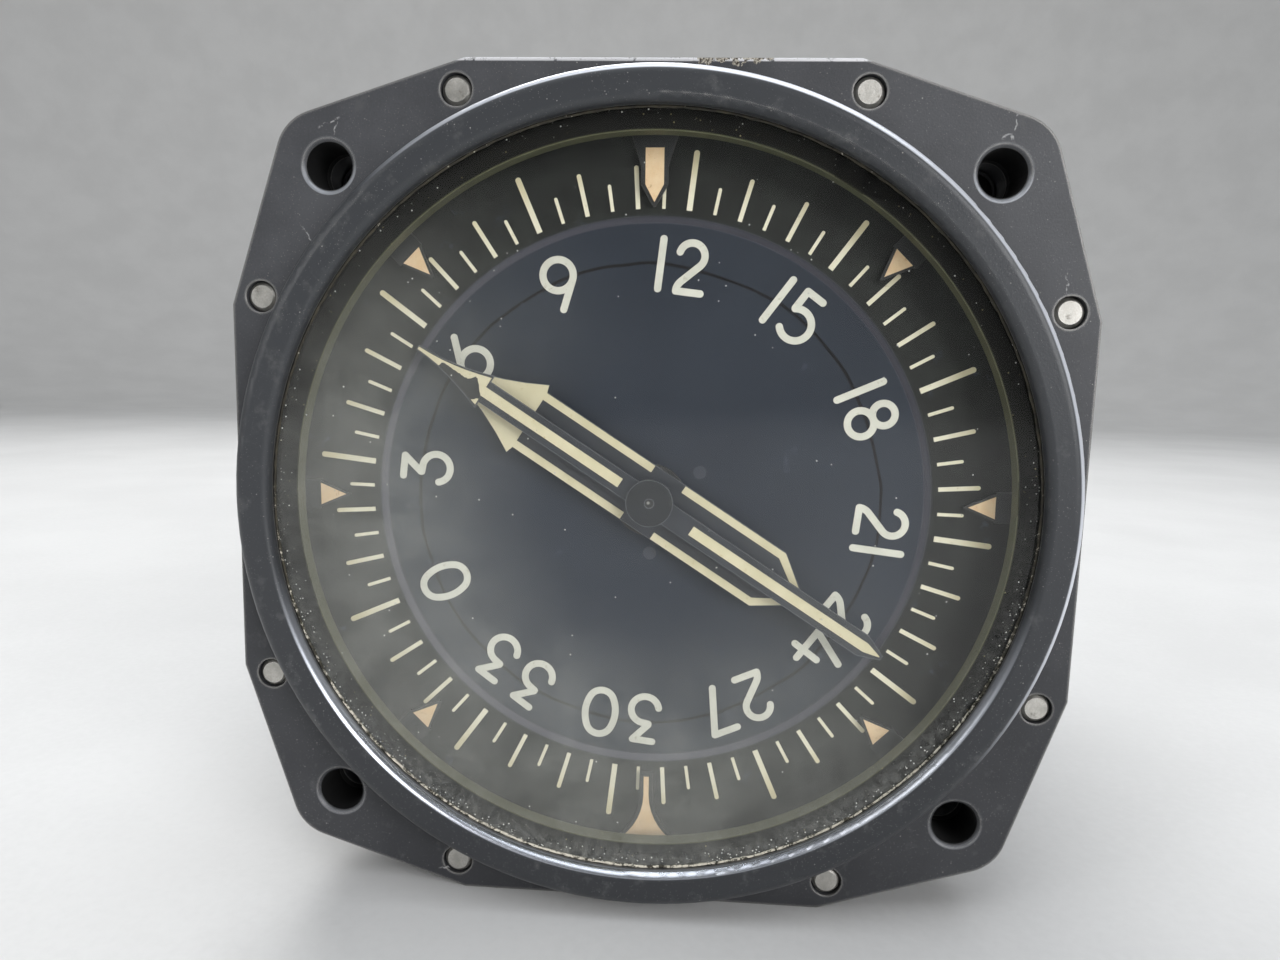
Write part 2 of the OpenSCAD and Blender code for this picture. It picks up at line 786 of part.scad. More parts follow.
// One curved stroke from angle a to angle b, anticlockwise, with round ends
module curl(c, r, a, b) {
    reach = 3 * (r + stroke_w);
    difference() {
        translate(c) difference() {
            circle(r = r + stroke_w / 2);
            circle(r = r - stroke_w / 2);
        }
        if (b - a < 359) translate(c) polygon(concat([[0, 0]],
            [for (i = [0 : 5]) let (t = b + (360 - b + a) * i / 5) reach * [cos(t), sin(t)]]));
    }
    if (b - a < 359) for (t = [a, b]) translate(c + r * [cos(t), sin(t)]) circle(d = stroke_w);
}

// Half the height of a number between the middles of its strokes
half_h = (number_h - stroke_w) / 2;
oval_w = 0.66 * half_h;
oval_end = 0.56 * half_h;
oval_side = (pow(half_h - oval_end, 2) + pow(oval_w, 2) - pow(oval_end, 2)) / (2 * (oval_w - oval_end));

module oval() {
    t = atan2(half_h - oval_end, oval_side - oval_w);
    for (s = [0, 180]) rotate(s) {
        curl([oval_w - oval_side, 0], oval_side, -t, t);
        curl([0, half_h - oval_end], oval_end, t, 180 - t);
    }
}

module digit(n) {
    h = half_h;
    bowl = 0.6 * h;
    if (n == 0) oval();
    if (n == 1) bar([0, -h], [0, h]);
    if (n == 2) {
        c = [0, 0.46 * h];
        foot = 0.565 * h;
        curl(c, 0.52 * h, -45, 168);
        bar(c + 0.52 * h * [cos(-45), sin(-45)], [foot * (1 + cos(135)) - 0.49 * h, foot * sin(135) - h]);
        curl([foot - 0.49 * h, -h], foot, 135, 180);
        bar([-0.49 * h, -h], [0.52 * h, -h]);
    }
    if (n == 3) {
        bar([-0.47 * h, h], [0.4 * h, h]);
        bar([0.4 * h, h], [-0.2 * h, 0.26 * h]);
        bar([-0.2 * h, 0.22 * h], [0.02 * h, 0.2 * h]);
        curl([0.02 * h, 0.2 * h - bowl], bowl, -165, 92);
    }
    if (n == 4) {
        bar([-0.14 * h, h], [-0.72 * h, -0.56 * h]);
        bar([-0.72 * h, -0.56 * h], [0.72 * h, -0.56 * h]);
        bar([0.28 * h, 0.16 * h], [0.28 * h, -h]);
    }
    if (n == 5) {
        bar([-0.5 * h, h], [0.26 * h, h]);
        bar([-0.5 * h, h], [-0.5 * h, 0.17 * h]);
        curl([-0.08 * h, 0.65 * h - h], 0.65 * h, -136, 129);
    }
    if (n == 6) rotate(180) digit(9);
    if (n == 7) {
        bar([-0.55 * h, h], [0.5 * h, h]);
        bar([0.5 * h, h], [-0.18 * h, -h]);
    }
    if (n == 8) {
        curl([0, h - 0.46 * h], 0.46 * h, 0, 360);
        curl([0, 0.54 * h - h], 0.54 * h, 0, 360);
    }
    if (n == 9) {
        loop = 0.63 * h;
        curl([0, h - loop], loop, 0, 360);
        bar([loop * cos(-40), h - loop + loop * sin(-40)], [-0.33 * h, -h]);
    }
}

// Half the width of each number from 0 to 9, as a share of half its height
half_widths = [0.64, 0, 0.52, 0.6, 0.7, 0.55, 0.62, 0.5, 0.56, 0.62];
function digit_half(n) = half_widths[n] * half_h;
number_gap = 1.7;

module number(v) {
    tens = floor(v / 10);
    ones = v % 10;
    if (tens == 0) digit(ones);
    else {
        total = 2 * digit_half(tens) + number_gap + 2 * digit_half(ones);
        translate([digit_half(tens) - total / 2, 0]) digit(tens);
        translate([total / 2 - digit_half(ones), 0]) digit(ones);
    }
}

module card_numbers() {
    color([0.8, 0.8, 0.74]) slab(card_middle - paint_t, card_middle)
        for (v = [0 : 3 : 33]) rotate(-10 * v - card_turn) translate([0, number_r]) number(v);
}

module card_sleeve() {
    color("goldenrod") difference() {
        union() {
            rod(sleeve_r, card_back, sleeve_back);
            rod(sleeve_flange_r, card_back, sleeve_flange_back);
        }
        rod(tube_r + run_gap, card_back - cut, sleeve_back + cut);
        for (p = card_screws_at) rod(card_screw_r, card_back - cut, sleeve_flange_back + cut, p);
    }
}

// Pointers

head_hollow = 1.85;
head_steps = 6;
needle_half = 0.14;
// Black edge left round the paint of the single bar pointer's head and needle
head_margin = 0.3;
needle_margin = 0.1;
single_tail_taper = 2.2;
single_tail_half = 0.25;
// Reach of the bars' inner ends towards the head and towards the tail
single_gap_front = 3.45;
single_gap_back = 4.9;
double_gap_front = 1.5;
double_gap_back = 2.1;
double_tail_half = 0.2;
double_margin = 0.05;
// How far the head's paint reaches back between the two bars
double_head_back = 0.25;
// Height of the paint where the tail's two stripes meet
tail_stripe_h = 1.3 * double_bar_w;
boss_pin_r = 0.45;

// Half outline of a head that narrows with hollow sides to a needle
function head_half(start, half_w, tip, needle) = [
    for (i = [0 : head_steps]) let (t = i / head_steps)
        [needle + (half_w - needle) * pow(1 - t, head_hollow), start + (tip - start) * t]
];
// A half outline and its mirror image, as one closed outline
function both_sides(half) = concat(half, [for (i = [len(half) - 1 : -1 : 0]) [-half[i].x, half[i].y]]);

module single_outline() {
    polygon(both_sides(concat(
        [
            [single_tail_half, -single_tail], [single_w / 2, single_tail_taper - single_tail],
            [single_w / 2, single_head]
        ],
        head_half(single_head, single_head_w / 2 + head_margin, single_tip, needle_half + needle_margin))));
}

module single_pointer() {
    color([0.12, 0.12, 0.12]) difference() {
        slab(single_front, single_front + pointer_t) rotate(-single_turn) single_outline();
        rod(single_shaft_r, single_front - cut, single_front + pointer_t + cut);
    }
}

module single_paint() {
    w = single_bar_w / 2;
    color([0.85, 0.8, 0.56]) slab(single_front - paint_t, single_front) rotate(-single_turn) {
        polygon(both_sides(concat(
            [[w, single_gap_front], [w, single_head + join]],
            head_half(single_head + join, single_head_w / 2, single_tip - needle_margin, needle_half))));
        polygon(both_sides([
            [single_tail_half / 5, single_tail_half - single_tail],
            [w, single_tail_taper - head_margin - single_tail], [w, -single_gap_back]
        ]));
    }
}

module single_boss() {
    color([0.08, 0.09, 0.09])
        tube(single_boss_r, boss_pin_r, single_front - single_boss_h, single_front);
}

// The pin on its front end ends just inside the boss
module single_shaft() {
    color("silver") {
        rod(single_shaft_r, single_front, unit_back - shaft_end_gap);
        rod(boss_pin_r, single_front - single_boss_h + 0.1, single_front + join);
    }
}

module double_outline() {
    polygon(both_sides(concat(
        [[double_tail_half, -double_tail], [double_w / 2, -double_shoulder], [double_w / 2, double_head]],
        head_half(double_head, double_head_w / 2 + double_margin, double_tip, needle_half))));
}

module double_pointer() {
    color([0.12, 0.12, 0.12]) difference() {
        slab(double_front, double_front + pointer_t) rotate(-double_turn) double_outline();
        rod(single_shaft_r + run_gap, double_front - cut, double_front + pointer_t + cut);
    }
}

// One side of the paint: half the head with its bar, and the tail's bar with its stripe
module double_paint_half() {
    out = double_w / 2 - double_margin;
    into = out - double_bar_w;
    tip = double_tip - needle_margin;
    tail = double_tail_half - double_tail;
    back = double_head - double_head_back;
    polygon(concat(
        [[0, back], [into, back], [into, double_gap_front], [out, double_gap_front], [out, back]],
        head_half(double_head, double_head_w / 2, tip, needle_margin), [[0, tip]]));
    polygon([
        [into, -double_gap_back], [into, head_margin - double_shoulder],
        [double_tail_half, tail + tail_stripe_h], [double_tail_half, tail],
        [out, -double_shoulder], [out, -double_gap_back]
    ]);
}

module double_paint() {
    color([0.85, 0.8, 0.56]) slab(double_front - paint_t, double_front) rotate(-double_turn)
        for (s = [0, 1]) mirror([s, 0]) double_paint_half();
}

double_boss_back = double_front + pointer_t + double_boss_t;

module double_shaft() {
    color("goldenrod") difference() {
        union() {
            rod(double_boss_r, double_front + pointer_t, double_boss_back);
            rod(tube_r, double_front + pointer_t, tube_back);
        }
        rod(single_shaft_r + run_gap, double_front, tube_back + cut);
    }
}

// Gears

function involute(a) = tan(a) * 180 / PI - a;
// Half the angle that a tooth fills at radius r
function tooth_half(r, n) =
    let (pitch_r = gear_m * n / 2, base_r = pitch_r * cos(pressure_angle))
    90 / n - backlash / 2 * 90 / (PI * pitch_r) + involute(pressure_angle)
        - (r > base_r ? involute(acos(base_r / r)) : 0);

// Spur gear outline with a tooth at the angle phase
module gear_outline(n, phase) {
    pitch_r = gear_m * n / 2;
    root_r = pitch_r - dedendum * gear_m;
    flank_r = max(root_r + 0.1, pitch_r * cos(pressure_angle));
    tip_r = pitch_r + addendum * gear_m;
    half = [[root_r, tooth_half(flank_r, n)], [flank_r, tooth_half(flank_r, n)],
        [pitch_r, tooth_half(pitch_r, n)], [tip_r, tooth_half(tip_r, n)]];
    polygon([for (i = [0 : n - 1]) let (a = phase + i * 360 / n) each concat(
        [for (k = [0 : 3]) half[k][0] * [cos(a - half[k][1]), sin(a - half[k][1])]],
        [for (k = [3 : -1 : 0]) half[k][0] * [cos(a + half[k][1]), sin(a + half[k][1])]])]);
}

// Phase of a gear that meshes with another along the line at angle a
function meshed(phase, n, other_n, a) = a + 180 + 180 / other_n - (phase - a) * n / other_n;

card_phase = 0;
card_drive_phase = meshed(card_phase, gear_n, gear_n, 180);
idler_pinion_phase = meshed(card_phase, gear_n, pinion_n, idler_angle);
idler_phase = motor_line;
motor_phase = meshed(idler_phase, idler_n, pinion_n, motor_line);
double_phase = 0;
double_drive_phase = meshed(double_phase, gear_n, gear_n, 0);

module gear(n, phase, bore_r, front, at, hub_r, hub_back) {
    difference() {
        union() {
            translate([at.x, 0, at.y]) slab(front, front + gear_t) gear_outline(n, phase);
            if (hub_back > front + gear_t) rod(hub_r, front, hub_back, at);
        }
        rod(bore_r, front - cut, hub_back + cut, at);
    }
}

// Holes that lighten a gear, between its hub and its teeth
module light_gear(phase, bore_r, front, hub_back, hole_r) {
    hub_r = bore_r + hub_wall;
    hole_reach = (hub_r + gear_r - dedendum * gear_m) / 2;
    difference() {
        gear(gear_n, phase, bore_r, front, [0, 0], hub_r, hub_back);
        for (p = ring_of(4, hole_reach, 45)) rod(hole_r, front - cut, front + gear_t + cut, p);
    }
}

module card_gear() {
    color("goldenrod") light_gear(card_phase, sleeve_r, card_gear_front, sleeve_back, 1.6);
}

module double_gear() {
    color("goldenrod")
        light_gear(double_phase, tube_r, double_gear_front, double_gear_front + gear_t + 0.6, 2);
}

module double_drive_gear() {
    color("goldenrod") gear(gear_n, double_drive_phase, unit_shaft_r, double_gear_front, double_at,
        drive_hub_r, double_gear_front + gear_t + hub_step);
}

module card_drive_gear() {
    color("goldenrod") gear(gear_n, card_drive_phase, unit_shaft_r, card_gear_front, card_drive_at,
        drive_hub_r, card_gear_front + gear_t + hub_step);
}

// How far a pinion stands out in front of the gear that it turns
pinion_step = 0.2;
pinion_hub_r = pinion_r - 2 * gear_m;
motor_shaft_front = idler_gear_front - pinion_step - shaft_stub;

module idler_gears() {
    color("goldenrod") {
        gear(pinion_n, idler_pinion_phase, unit_shaft_r, card_gear_front - pinion_step, idler_at,
            pinion_hub_r, idler_gear_front);
        gear(idler_n, idler_phase, unit_shaft_r, idler_gear_front, idler_at,
            drive_hub_r, idler_gear_front + gear_t + hub_step / 2);
    }
}

// Length of the idler's shaft in each of its two bushes
idler_seat = 2;

module idler_shaft() {
    color("silver")
        rod(unit_shaft_r, front_plate_back - idler_seat, gear_plate_front + idler_seat, idler_at);
}

module motor_pinion() {
    color("silver") gear(pinion_n, motor_phase, unit_shaft_r, idler_gear_front - pinion_step, motor_at,
        pinion_hub_r, idler_gear_front + gear_t + hub_step);
}

// Frame

front_bush_r = sleeve_r + 2;
idler_bush_r = unit_shaft_r + 1.25;
tube_bush_r = tube_r + 1.95;
bush_flange = 1.4;
bush_flange_t = 1.2;
tube_bush_back = unit_front - pilot_h;
// How far the middle bushes stand out of their plates
bush_step = 1;
tube_bush_step = 0.6;
shaft_hole_gap = 0.6;

module frame_plate(front, back, r) {
    difference() {
        rod(r, front, back);
        for (p = pillars_at) rod(small_hole_r, front - cut, back + cut, p);
    }
}

module front_plate() {
    color([0.7, 0.7, 0.68]) difference() {
        frame_plate(front_plate_front, front_plate_back, case_in_r - plate_gap);
        rod(front_bush_r, front_plate_front - cut, front_plate_back + cut);
        rod(idler_bush_r, front_plate_front - cut, front_plate_back + cut, idler_at);
        for (p = frame_screws_at)
            rod(small_hole_r, front_plate_front - cut, front_plate_back + cut, p);
    }
}

module gear_plate() {
    color([0.7, 0.7, 0.68]) difference() {
        frame_plate(gear_plate_front, unit_front, frame_r);
        rod(tube_bush_r, gear_plate_front - cut, unit_front + cut);
        rod(idler_bush_r, gear_plate_front - cut, unit_front + cut, idler_at);
        for (p = units_at) {
            rod(pilot_r + pilot_gap, unit_front - pilot_h, unit_front + cut, p);
            rod(unit_shaft_r + shaft_hole_gap, gear_plate_front - cut, unit_front + cut, p);
        }
        for (p = clamps_at) rod(clamp_screw_r, gear_plate_front - cut, unit_front + cut, p);
    }
}

module rear_plate() {
    color([0.7, 0.7, 0.68]) difference() {
        frame_plate(rear_plate_front, rear_plate_back, frame_r);
        for (p = units_at) rod(wire_ring + wire_hole_gap, rear_plate_front - cut, rear_plate_back + cut, p);
        for (p = posts_at) rod(small_hole_r, rear_plate_front - cut, rear_plate_back + cut, p);
    }
}

module gear_pillars() {
    color("silver") for (p = pillars_at)
        tube(pillar_r, small_r, front_plate_back, gear_plate_front, p);
}

module rear_pillars() {
    color("silver") for (p = pillars_at)
        tube(pillar_r, small_r, unit_front, rear_plate_front, p);
}

post_r = 2.2;
post_inset = 6.6;
posts_at = ring_of(4, frame_r - post_inset, 20);
edge_head_r = 1.7;
front_screw_grip = 3;
rear_screw_grip = 5;

module frame_screws() {
    color("silver") {
        for (p = frame_screws_at)
            screw_in(small_r, edge_head_r, small_head_h, front_plate_front,
                front_plate_back + front_shoulder_t, p);
        for (p = pillars_at) {
            screw_in(small_r, small_head_r, small_head_h, front_plate_front,
                unit_front + front_screw_grip, p);
            screw(small_r, small_head_r, small_head_h, rear_plate_front - rear_screw_grip,
                rear_plate_back, p);
        }
        for (p = posts_at) {
            tube(post_r, small_r, rear_plate_back, board_front, p);
            screw(small_r, small_head_r, small_head_h, rear_plate_front, board_back, p);
        }
    }
}

module frame_bushes() {
    flange_r = front_bush_r + bush_flange;
    sleeve_bore = sleeve_r + run_gap;
    idler_bore = unit_shaft_r + run_gap;
    color([0.72, 0.5, 0.3]) {
        tube(front_bush_r, sleeve_bore, front_plate_front, front_plate_back + bush_step);
        tube(flange_r, sleeve_bore, front_plate_front - bush_flange_t, front_plate_front);
        tube(idler_bush_r, idler_bore, front_plate_front, front_plate_back, idler_at);
        tube(idler_bush_r, idler_bore, gear_plate_front, unit_front, idler_at);
        tube(tube_bush_r, tube_r + run_gap, gear_plate_front - tube_bush_step, tube_bush_back);
    }
}

// Synchros and servo motor

pilot_r = unit_r - pilot_step;
pilot_gap = 0.05;
rim_t = 1.5;
groove_t = 1.2;
groove = 0.65;
end_t = 1.8;
// Space in a can in front of the stator and behind it
stator_lead = 6;
stator_tail = 5;
// How much shorter a rotor is than its stator at each end
rotor_step = 2;
stator_front = unit_front + stator_lead;
stator_back = unit_back - stator_tail;
rotor_front = stator_front + rotor_step;
rotor_back = stator_back - rotor_step;
can_bore_r = unit_r - unit_wall - groove;
rotor_r = can_bore_r - stator_w - air_gap;
// Length of the winding's ends, and how far they keep from the can and the rotor
end_turns = 1.6;
end_turns_gap = 0.5;
collector_len = 2;
collector_step = 1.5;
rear_bearing_t = 0.6;

module unit_can(at, shaft_r) {
    color([0.75, 0.75, 0.74]) difference() {
        union() {
            rod(pilot_r, unit_front - pilot_h, unit_front, at);
            rod(unit_r, unit_front, unit_back, at);
        }
        rod(can_bore_r, unit_front + end_t, unit_back - end_t, at);
        rod(shaft_r + run_gap, unit_front - pilot_h - cut, unit_front + end_t + cut, at);
        rod(shaft_r + run_gap, unit_back - end_t - cut, unit_back - rear_bearing_t, at);
        tube(unit_r + cut, unit_r - groove, clamp_front, clamp_front + groove_t, at);
    }
}

module stator_windings() {
    in_r = rotor_r + air_gap;
    turns_out_r = can_bore_r - end_turns_gap;
    turns_in_r = in_r + end_turns_gap;
    color([0.6, 0.35, 0.2]) for (p = units_at) {
        tube(can_bore_r, in_r, stator_front, stator_back, p);
        tube(turns_out_r, turns_in_r, stator_front - end_turns, stator_front, p);
        tube(turns_out_r, turns_in_r, stator_back, stator_back + end_turns, p);
    }
}

module rotor(at, shaft_r) {
    color([0.5, 0.5, 0.52]) {
        tube(rotor_r, shaft_r, rotor_front, rotor_back, at);
        tube(rotor_r - collector_step, shaft_r, rotor_back, rotor_back + collector_len, at);
    }
}

// Rotor and shaft of an outer unit, with the shaft reaching forward through its gear
module drive_rotor(at, shaft_front) {
    rotor(at, unit_shaft_r);
    color("silver") rod(unit_shaft_r, shaft_front, unit_back - shaft_end_gap, at);
}

// Round clamps on posts, whose edges reach into the grooves of the cans
clamp_front = unit_front + rim_t;
clamp_back = clamp_front + groove_t;
clamp_post_r = 1.5;
clamp_reach = unit_r + clamp_post_r + 0.28;
clamp_r = 2.2;
clamp_screw_r = 0.75;
clamp_head_r = 1.45;
clamp_head_h = 1;
function clamps_of(at, out) = [for (a = [out - 80, out + 80]) at + clamp_reach * [cos(a), sin(a)]];
clamps_at = concat(ring_of(4, clamp_reach, 45), clamps_of(double_at, 0), clamps_of(card_drive_at, 180),
    clamps_of(motor_at, 90));

module synchro_clamps() {
    color([0.72, 0.6, 0.35]) for (p = clamps_at) {
        tube(clamp_post_r, clamp_screw_r, unit_front, clamp_front, p);
        tube(clamp_r, clamp_screw_r, clamp_front, clamp_back, p);
    }
}

module clamp_screws() {
    color("silver") for (p = clamps_at)
        screw(clamp_screw_r, clamp_head_r, clamp_head_h, gear_plate_front + tip_space, clamp_back, p);
}

// Circuit board and wiring

board_edge_gap = 1;
board_size = 2 * [shoulder_r - board_end_gap, shoulder_r - board_side_gap];
transformer = [18, 12, 13];
core = [13, 2.5, 9];
capacitor_r = 3.6;
capacitor_h = 11;
capacitor_pitch = 15;
transistor_r = 3.8;
transistor_h = 6;
transistor_rim = 0.4;
transistor_rim_t = 1;
transistor_pitch = 10;
// Distances of the parts on the board from its sides and from its posts
transformer_inset = 7;
capacitor_inset = 11;
transistor_inset = 7.37;
transistor_drop = 1;
transformer_low = transformer_inset - board_size.y / 2;
capacitor_up = board_size.y / 2 - capacitor_inset;
transistor_side = posts_at[0].x - transistor_inset;

module amp_board() {
    color([0.2, 0.35, 0.2]) difference() {
        intersection() {
            slab(board_front, board_back) square(board_size, center = true);
            rod(shoulder_r - board_edge_gap, board_front - cut, board_back + cut);
        }
        for (p = posts_at) rod(small_hole_r, board_front - cut, board_back + cut, p);
    }
}

module board_transformer() {
    color([0.35, 0.3, 0.25]) {
        translate([-transformer.x / 2, board_back, transformer_low]) cube(transformer);
        translate([-core.x / 2, board_back + transformer.y, transformer_low + (transformer.z - core.z) / 2])
            cube(core);
    }
}

module board_capacitors() {
    color([0.2, 0.25, 0.5]) for (i = [-1 : 1])
        rod(capacitor_r, board_back, board_back + capacitor_h, [i * capacitor_pitch, capacitor_up]);
}

module board_transistors() {
    color("silver") for (x = [-1, 1] * transistor_side, s = [-0.5, 0.5]) {
        y = s * transistor_pitch - transistor_drop;
        rod(transistor_r + transistor_rim, board_back, board_back + transistor_rim_t, [x, y]);
        rod(transistor_r, board_back + transistor_rim_t, board_back + transistor_h, [x, y]);
    }
}

wire_r = 0.45;
wire_ring = 5;
wire_hole_gap = 1.6;

module wiring() {
    color([0.75, 0.7, 0.6]) {
        for (u = units_at, p = ring_of(3, wire_ring, 30)) rod(wire_r, unit_back, board_front, u + p);
        for (p = ring_of(6, contact_pitch)) rod(wire_r, board_back, contact_front, p);
    }
}

bezel();
glass_seal();
cover_glass();
glass_ring();
index_ring();
index_marks();
clamp_ring();
case_gasket();
bezel_screws();
case_can();
front_plate();
gear_plate();
rear_plate();
gear_pillars();
rear_pillars();
frame_screws();
frame_bushes();
unit_can([0, 0], single_shaft_r);  // single_synchro_can
unit_can(double_at, unit_shaft_r);  // double_synchro_can
unit_can(card_drive_at, unit_shaft_r);  // card_synchro_can
unit_can(motor_at, unit_shaft_r);  // servo_motor_can
stator_windings();
synchro_clamps();
clamp_screws();
amp_board();
board_transformer();
board_capacitors();
board_transistors();
wiring();
rear_cover();
cover_seal();
cover_screws();
connector_shell();
connector_insert();
connector_contacts();
connector_screws();
card_disc();
card_ticks();
card_numbers();
card_sleeve();
card_gear();
card_screws();
double_pointer();
double_paint();
double_shaft();
double_gear();
single_pointer();
single_paint();
single_boss();
single_shaft();
rotor([0, 0], single_shaft_r);  // single_rotor
double_drive_gear();
drive_rotor(double_at, double_gear_front - shaft_stub);  // double_drive_rotor
card_drive_gear();
drive_rotor(card_drive_at, card_gear_front - shaft_stub);  // card_drive_rotor
idler_gears();
idler_shaft();
motor_pinion();
drive_rotor(motor_at, motor_shaft_front);  // motor_rotor
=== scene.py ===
import math
import bpy
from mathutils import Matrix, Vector


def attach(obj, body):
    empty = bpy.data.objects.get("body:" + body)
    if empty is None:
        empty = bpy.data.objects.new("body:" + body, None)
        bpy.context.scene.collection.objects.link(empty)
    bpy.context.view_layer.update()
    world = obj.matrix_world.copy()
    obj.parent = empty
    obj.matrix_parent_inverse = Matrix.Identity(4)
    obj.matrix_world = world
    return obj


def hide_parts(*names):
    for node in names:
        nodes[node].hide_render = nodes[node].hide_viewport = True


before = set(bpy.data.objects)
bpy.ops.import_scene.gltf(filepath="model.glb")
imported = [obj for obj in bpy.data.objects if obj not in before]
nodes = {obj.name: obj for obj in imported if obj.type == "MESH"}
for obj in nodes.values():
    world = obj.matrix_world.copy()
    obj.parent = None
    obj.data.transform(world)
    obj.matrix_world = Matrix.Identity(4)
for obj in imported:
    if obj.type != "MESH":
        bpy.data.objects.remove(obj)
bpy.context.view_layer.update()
print("frame loaded:", len(nodes), "nodes")

mm = 0.001
mergeGap = 0.002 * mm  # vertices closer than this are one
mountReach = 31.4325  # mm from the middle to each mounting hole, sideways and upwards


# camera, lamps and room

photoView = {
    "place": (4.036, -82.302, 12.681),  # mm
    "turn": (82.778, -1.418, 3.658),  # degrees
    "lens": 24.005,
    "nearest": 5.0,  # mm
}


def placeCamera(view):
    data = bpy.data.cameras.new("photoCamera")
    camera = bpy.data.objects.new("photoCamera", data)
    bpy.context.scene.collection.objects.link(camera)
    data.sensor_width = 36
    data.lens = view["lens"]
    data.clip_start = view["nearest"] * mm
    camera.location = Vector(view["place"]) * mm
    camera.rotation_euler = [math.radians(angle) for angle in view["turn"]]
    bpy.context.scene.camera = camera


# places and sizes in metres, spread in degrees
lamps = {
    "keyLamp": {"at": (0.85, -0.95, 0.42), "size": (0.8, 0.8), "watts": 4.4, "spread": 100,
                "tint": (0.985, 0.985, 1.0)},
    "leftLamp": {"at": (-0.95, -0.6, 0.5), "size": (0.6, 0.6), "watts": 0.8, "spread": 100},
    "topLamp": {"at": (0.1, -0.1, 1.05), "size": (1.7, 0.7), "watts": 9.2, "tint": (0.93, 0.96, 1.0)},
    "backLamp": {"at": (-0.35, 0.8, 0.8), "size": (0.8, 0.5), "watts": 2.2, "spread": 80},
    "wallLamp": {"at": (0.0, 0.6, 1.15), "size": (1.2, 0.4), "watts": 4.0, "aim": (0.0, 1.5, 0.35)},
}


def placeLamp(name, lamp):
    data = bpy.data.lights.new(name, "AREA")
    data.shape = "RECTANGLE"
    data.size, data.size_y = lamp["size"]
    data.energy = lamp["watts"]
    data.color = lamp.get("tint", (1.0, 1.0, 1.0))
    data.spread = math.radians(lamp.get("spread", 180))
    thing = bpy.data.objects.new(name, data)
    bpy.context.scene.collection.objects.link(thing)
    thing.location = lamp["at"]
    thing.visible_camera = False
    aim = Vector(lamp.get("aim", (0, 0, 0))) - Vector(lamp["at"])
    thing.rotation_euler = aim.to_track_quat("-Z", "Y").to_euler()


softRoom = {"strength": 0.11, "tint": (0.98, 0.985, 1.0)}


def lightRoom(room):
    world = bpy.data.worlds.new("softRoom")
    bpy.context.scene.world = world
    world.use_nodes = True
    back = world.node_tree.nodes["Background"]
    back.inputs["Color"].default_value = (*room["tint"], 1)
    back.inputs["Strength"].default_value = room["strength"]


placeCamera(photoView)
for lampName, lampSizes in lamps.items():
    placeLamp(lampName, lampSizes)
lightRoom(softRoom)
bpy.context.scene.view_settings.view_transform = "Standard"
print("camera and lamps placed")


# node helpers: a sheet holds one finish while it is built up; places and sizes are in mm

def swatch(red, green, blue):
    # screen values from 0 to 255, turned into linear light
    share = [v / 255 for v in (red, green, blue)]
    return (*[v / 12.92 if v <= 0.04045 else ((v + 0.055) / 1.055) ** 2.4 for v in share], 1)


def feed(sheet, socket, value):
    if isinstance(value, bpy.types.NodeSocket):
        sheet["tree"].links.new(value, socket)
    else:
        socket.default_value = value


def add(sheet, kind, inputs=(), **settings):
    made = sheet["tree"].nodes.new("ShaderNode" + kind)
    for key, value in settings.items():
        setattr(made, key, value)
    for key, value in dict(inputs).items():
        feed(sheet, made.inputs[key], value)
    return made


def calc(sheet, operation, first, second=0.0):
    return add(sheet, "Math", {0: first, 1: second}, operation=operation).outputs[0]


def times(sheet, first, *others):
    for other in others:
        first = calc(sheet, "MULTIPLY", first, other)
    return first


def plus(sheet, first, second):
    return calc(sheet, "ADD", first, second)


def minus(sheet, first, second):
    return calc(sheet, "SUBTRACT", first, second)


def awayFrom(sheet, value, middle):
    return calc(sheet, "ABSOLUTE", minus(sheet, value, middle))


def band(sheet, value, low, high, start=0.0, end=1.0):
    # goes smoothly from start to end while value goes from low to high
    span = add(sheet, "MapRange", {"Value": value, "From Min": low, "From Max": high,
                                   "To Min": start, "To Max": end}, interpolation_type="SMOOTHSTEP")
    return span.outputs[0]


def blendColor(sheet, share, first, second):
    made = add(sheet, "Mix", {0: share, 6: first, 7: second}, data_type="RGBA")
    return made.outputs[2]


def noise(sheet, size, detail, rough=0.55, where=None):
    return add(sheet, "TexNoise", {"Vector": where or sheet["place"], "Scale": 1 / size,
                                   "Detail": detail, "Roughness": rough}).outputs[0]


def patches(sheet, size, low, high, rough=0.7):
    return band(sheet, noise(sheet, size, 5.0, rough), low, high)


def stretched(sheet, scale):
    return add(sheet, "Mapping", {"Vector": sheet["place"], "Scale": scale}).outputs[0]


def roundDots(sheet, scale, share, rim):
    # a round dot in a share of the cells, full inside rim and gone at 0.28 of a cell
    dots = add(sheet, "TexVoronoi", {"Vector": sheet["place"], "Scale": scale}, feature="F1")
    pick = add(sheet, "TexWhiteNoise", {"Vector": dots.outputs["Position"]}, noise_dimensions="3D").outputs[0]
    near = band(sheet, dots.outputs["Distance"], 0.28, rim)
    return times(sheet, near, calc(sheet, "LESS_THAN", pick, share))


def radiusOf(sheet, centre=(0, 0)):
    across = minus(sheet, sheet["x"], centre[0])
    up = minus(sheet, sheet["z"], centre[1])
    return calc(sheet, "SQRT", plus(sheet, times(sheet, across, across), times(sheet, up, up)))


def edgeOf(sheet, size):
    # how far the surface turns within size mm
    soft = add(sheet, "Bevel", {"Radius": size * mm}, samples=3).outputs[0]
    flat = add(sheet, "NewGeometry").outputs["Normal"]
    along = add(sheet, "VectorMath", {0: soft, 1: flat}, operation="DOT_PRODUCT").outputs["Value"]
    return minus(sheet, 1.0, along)


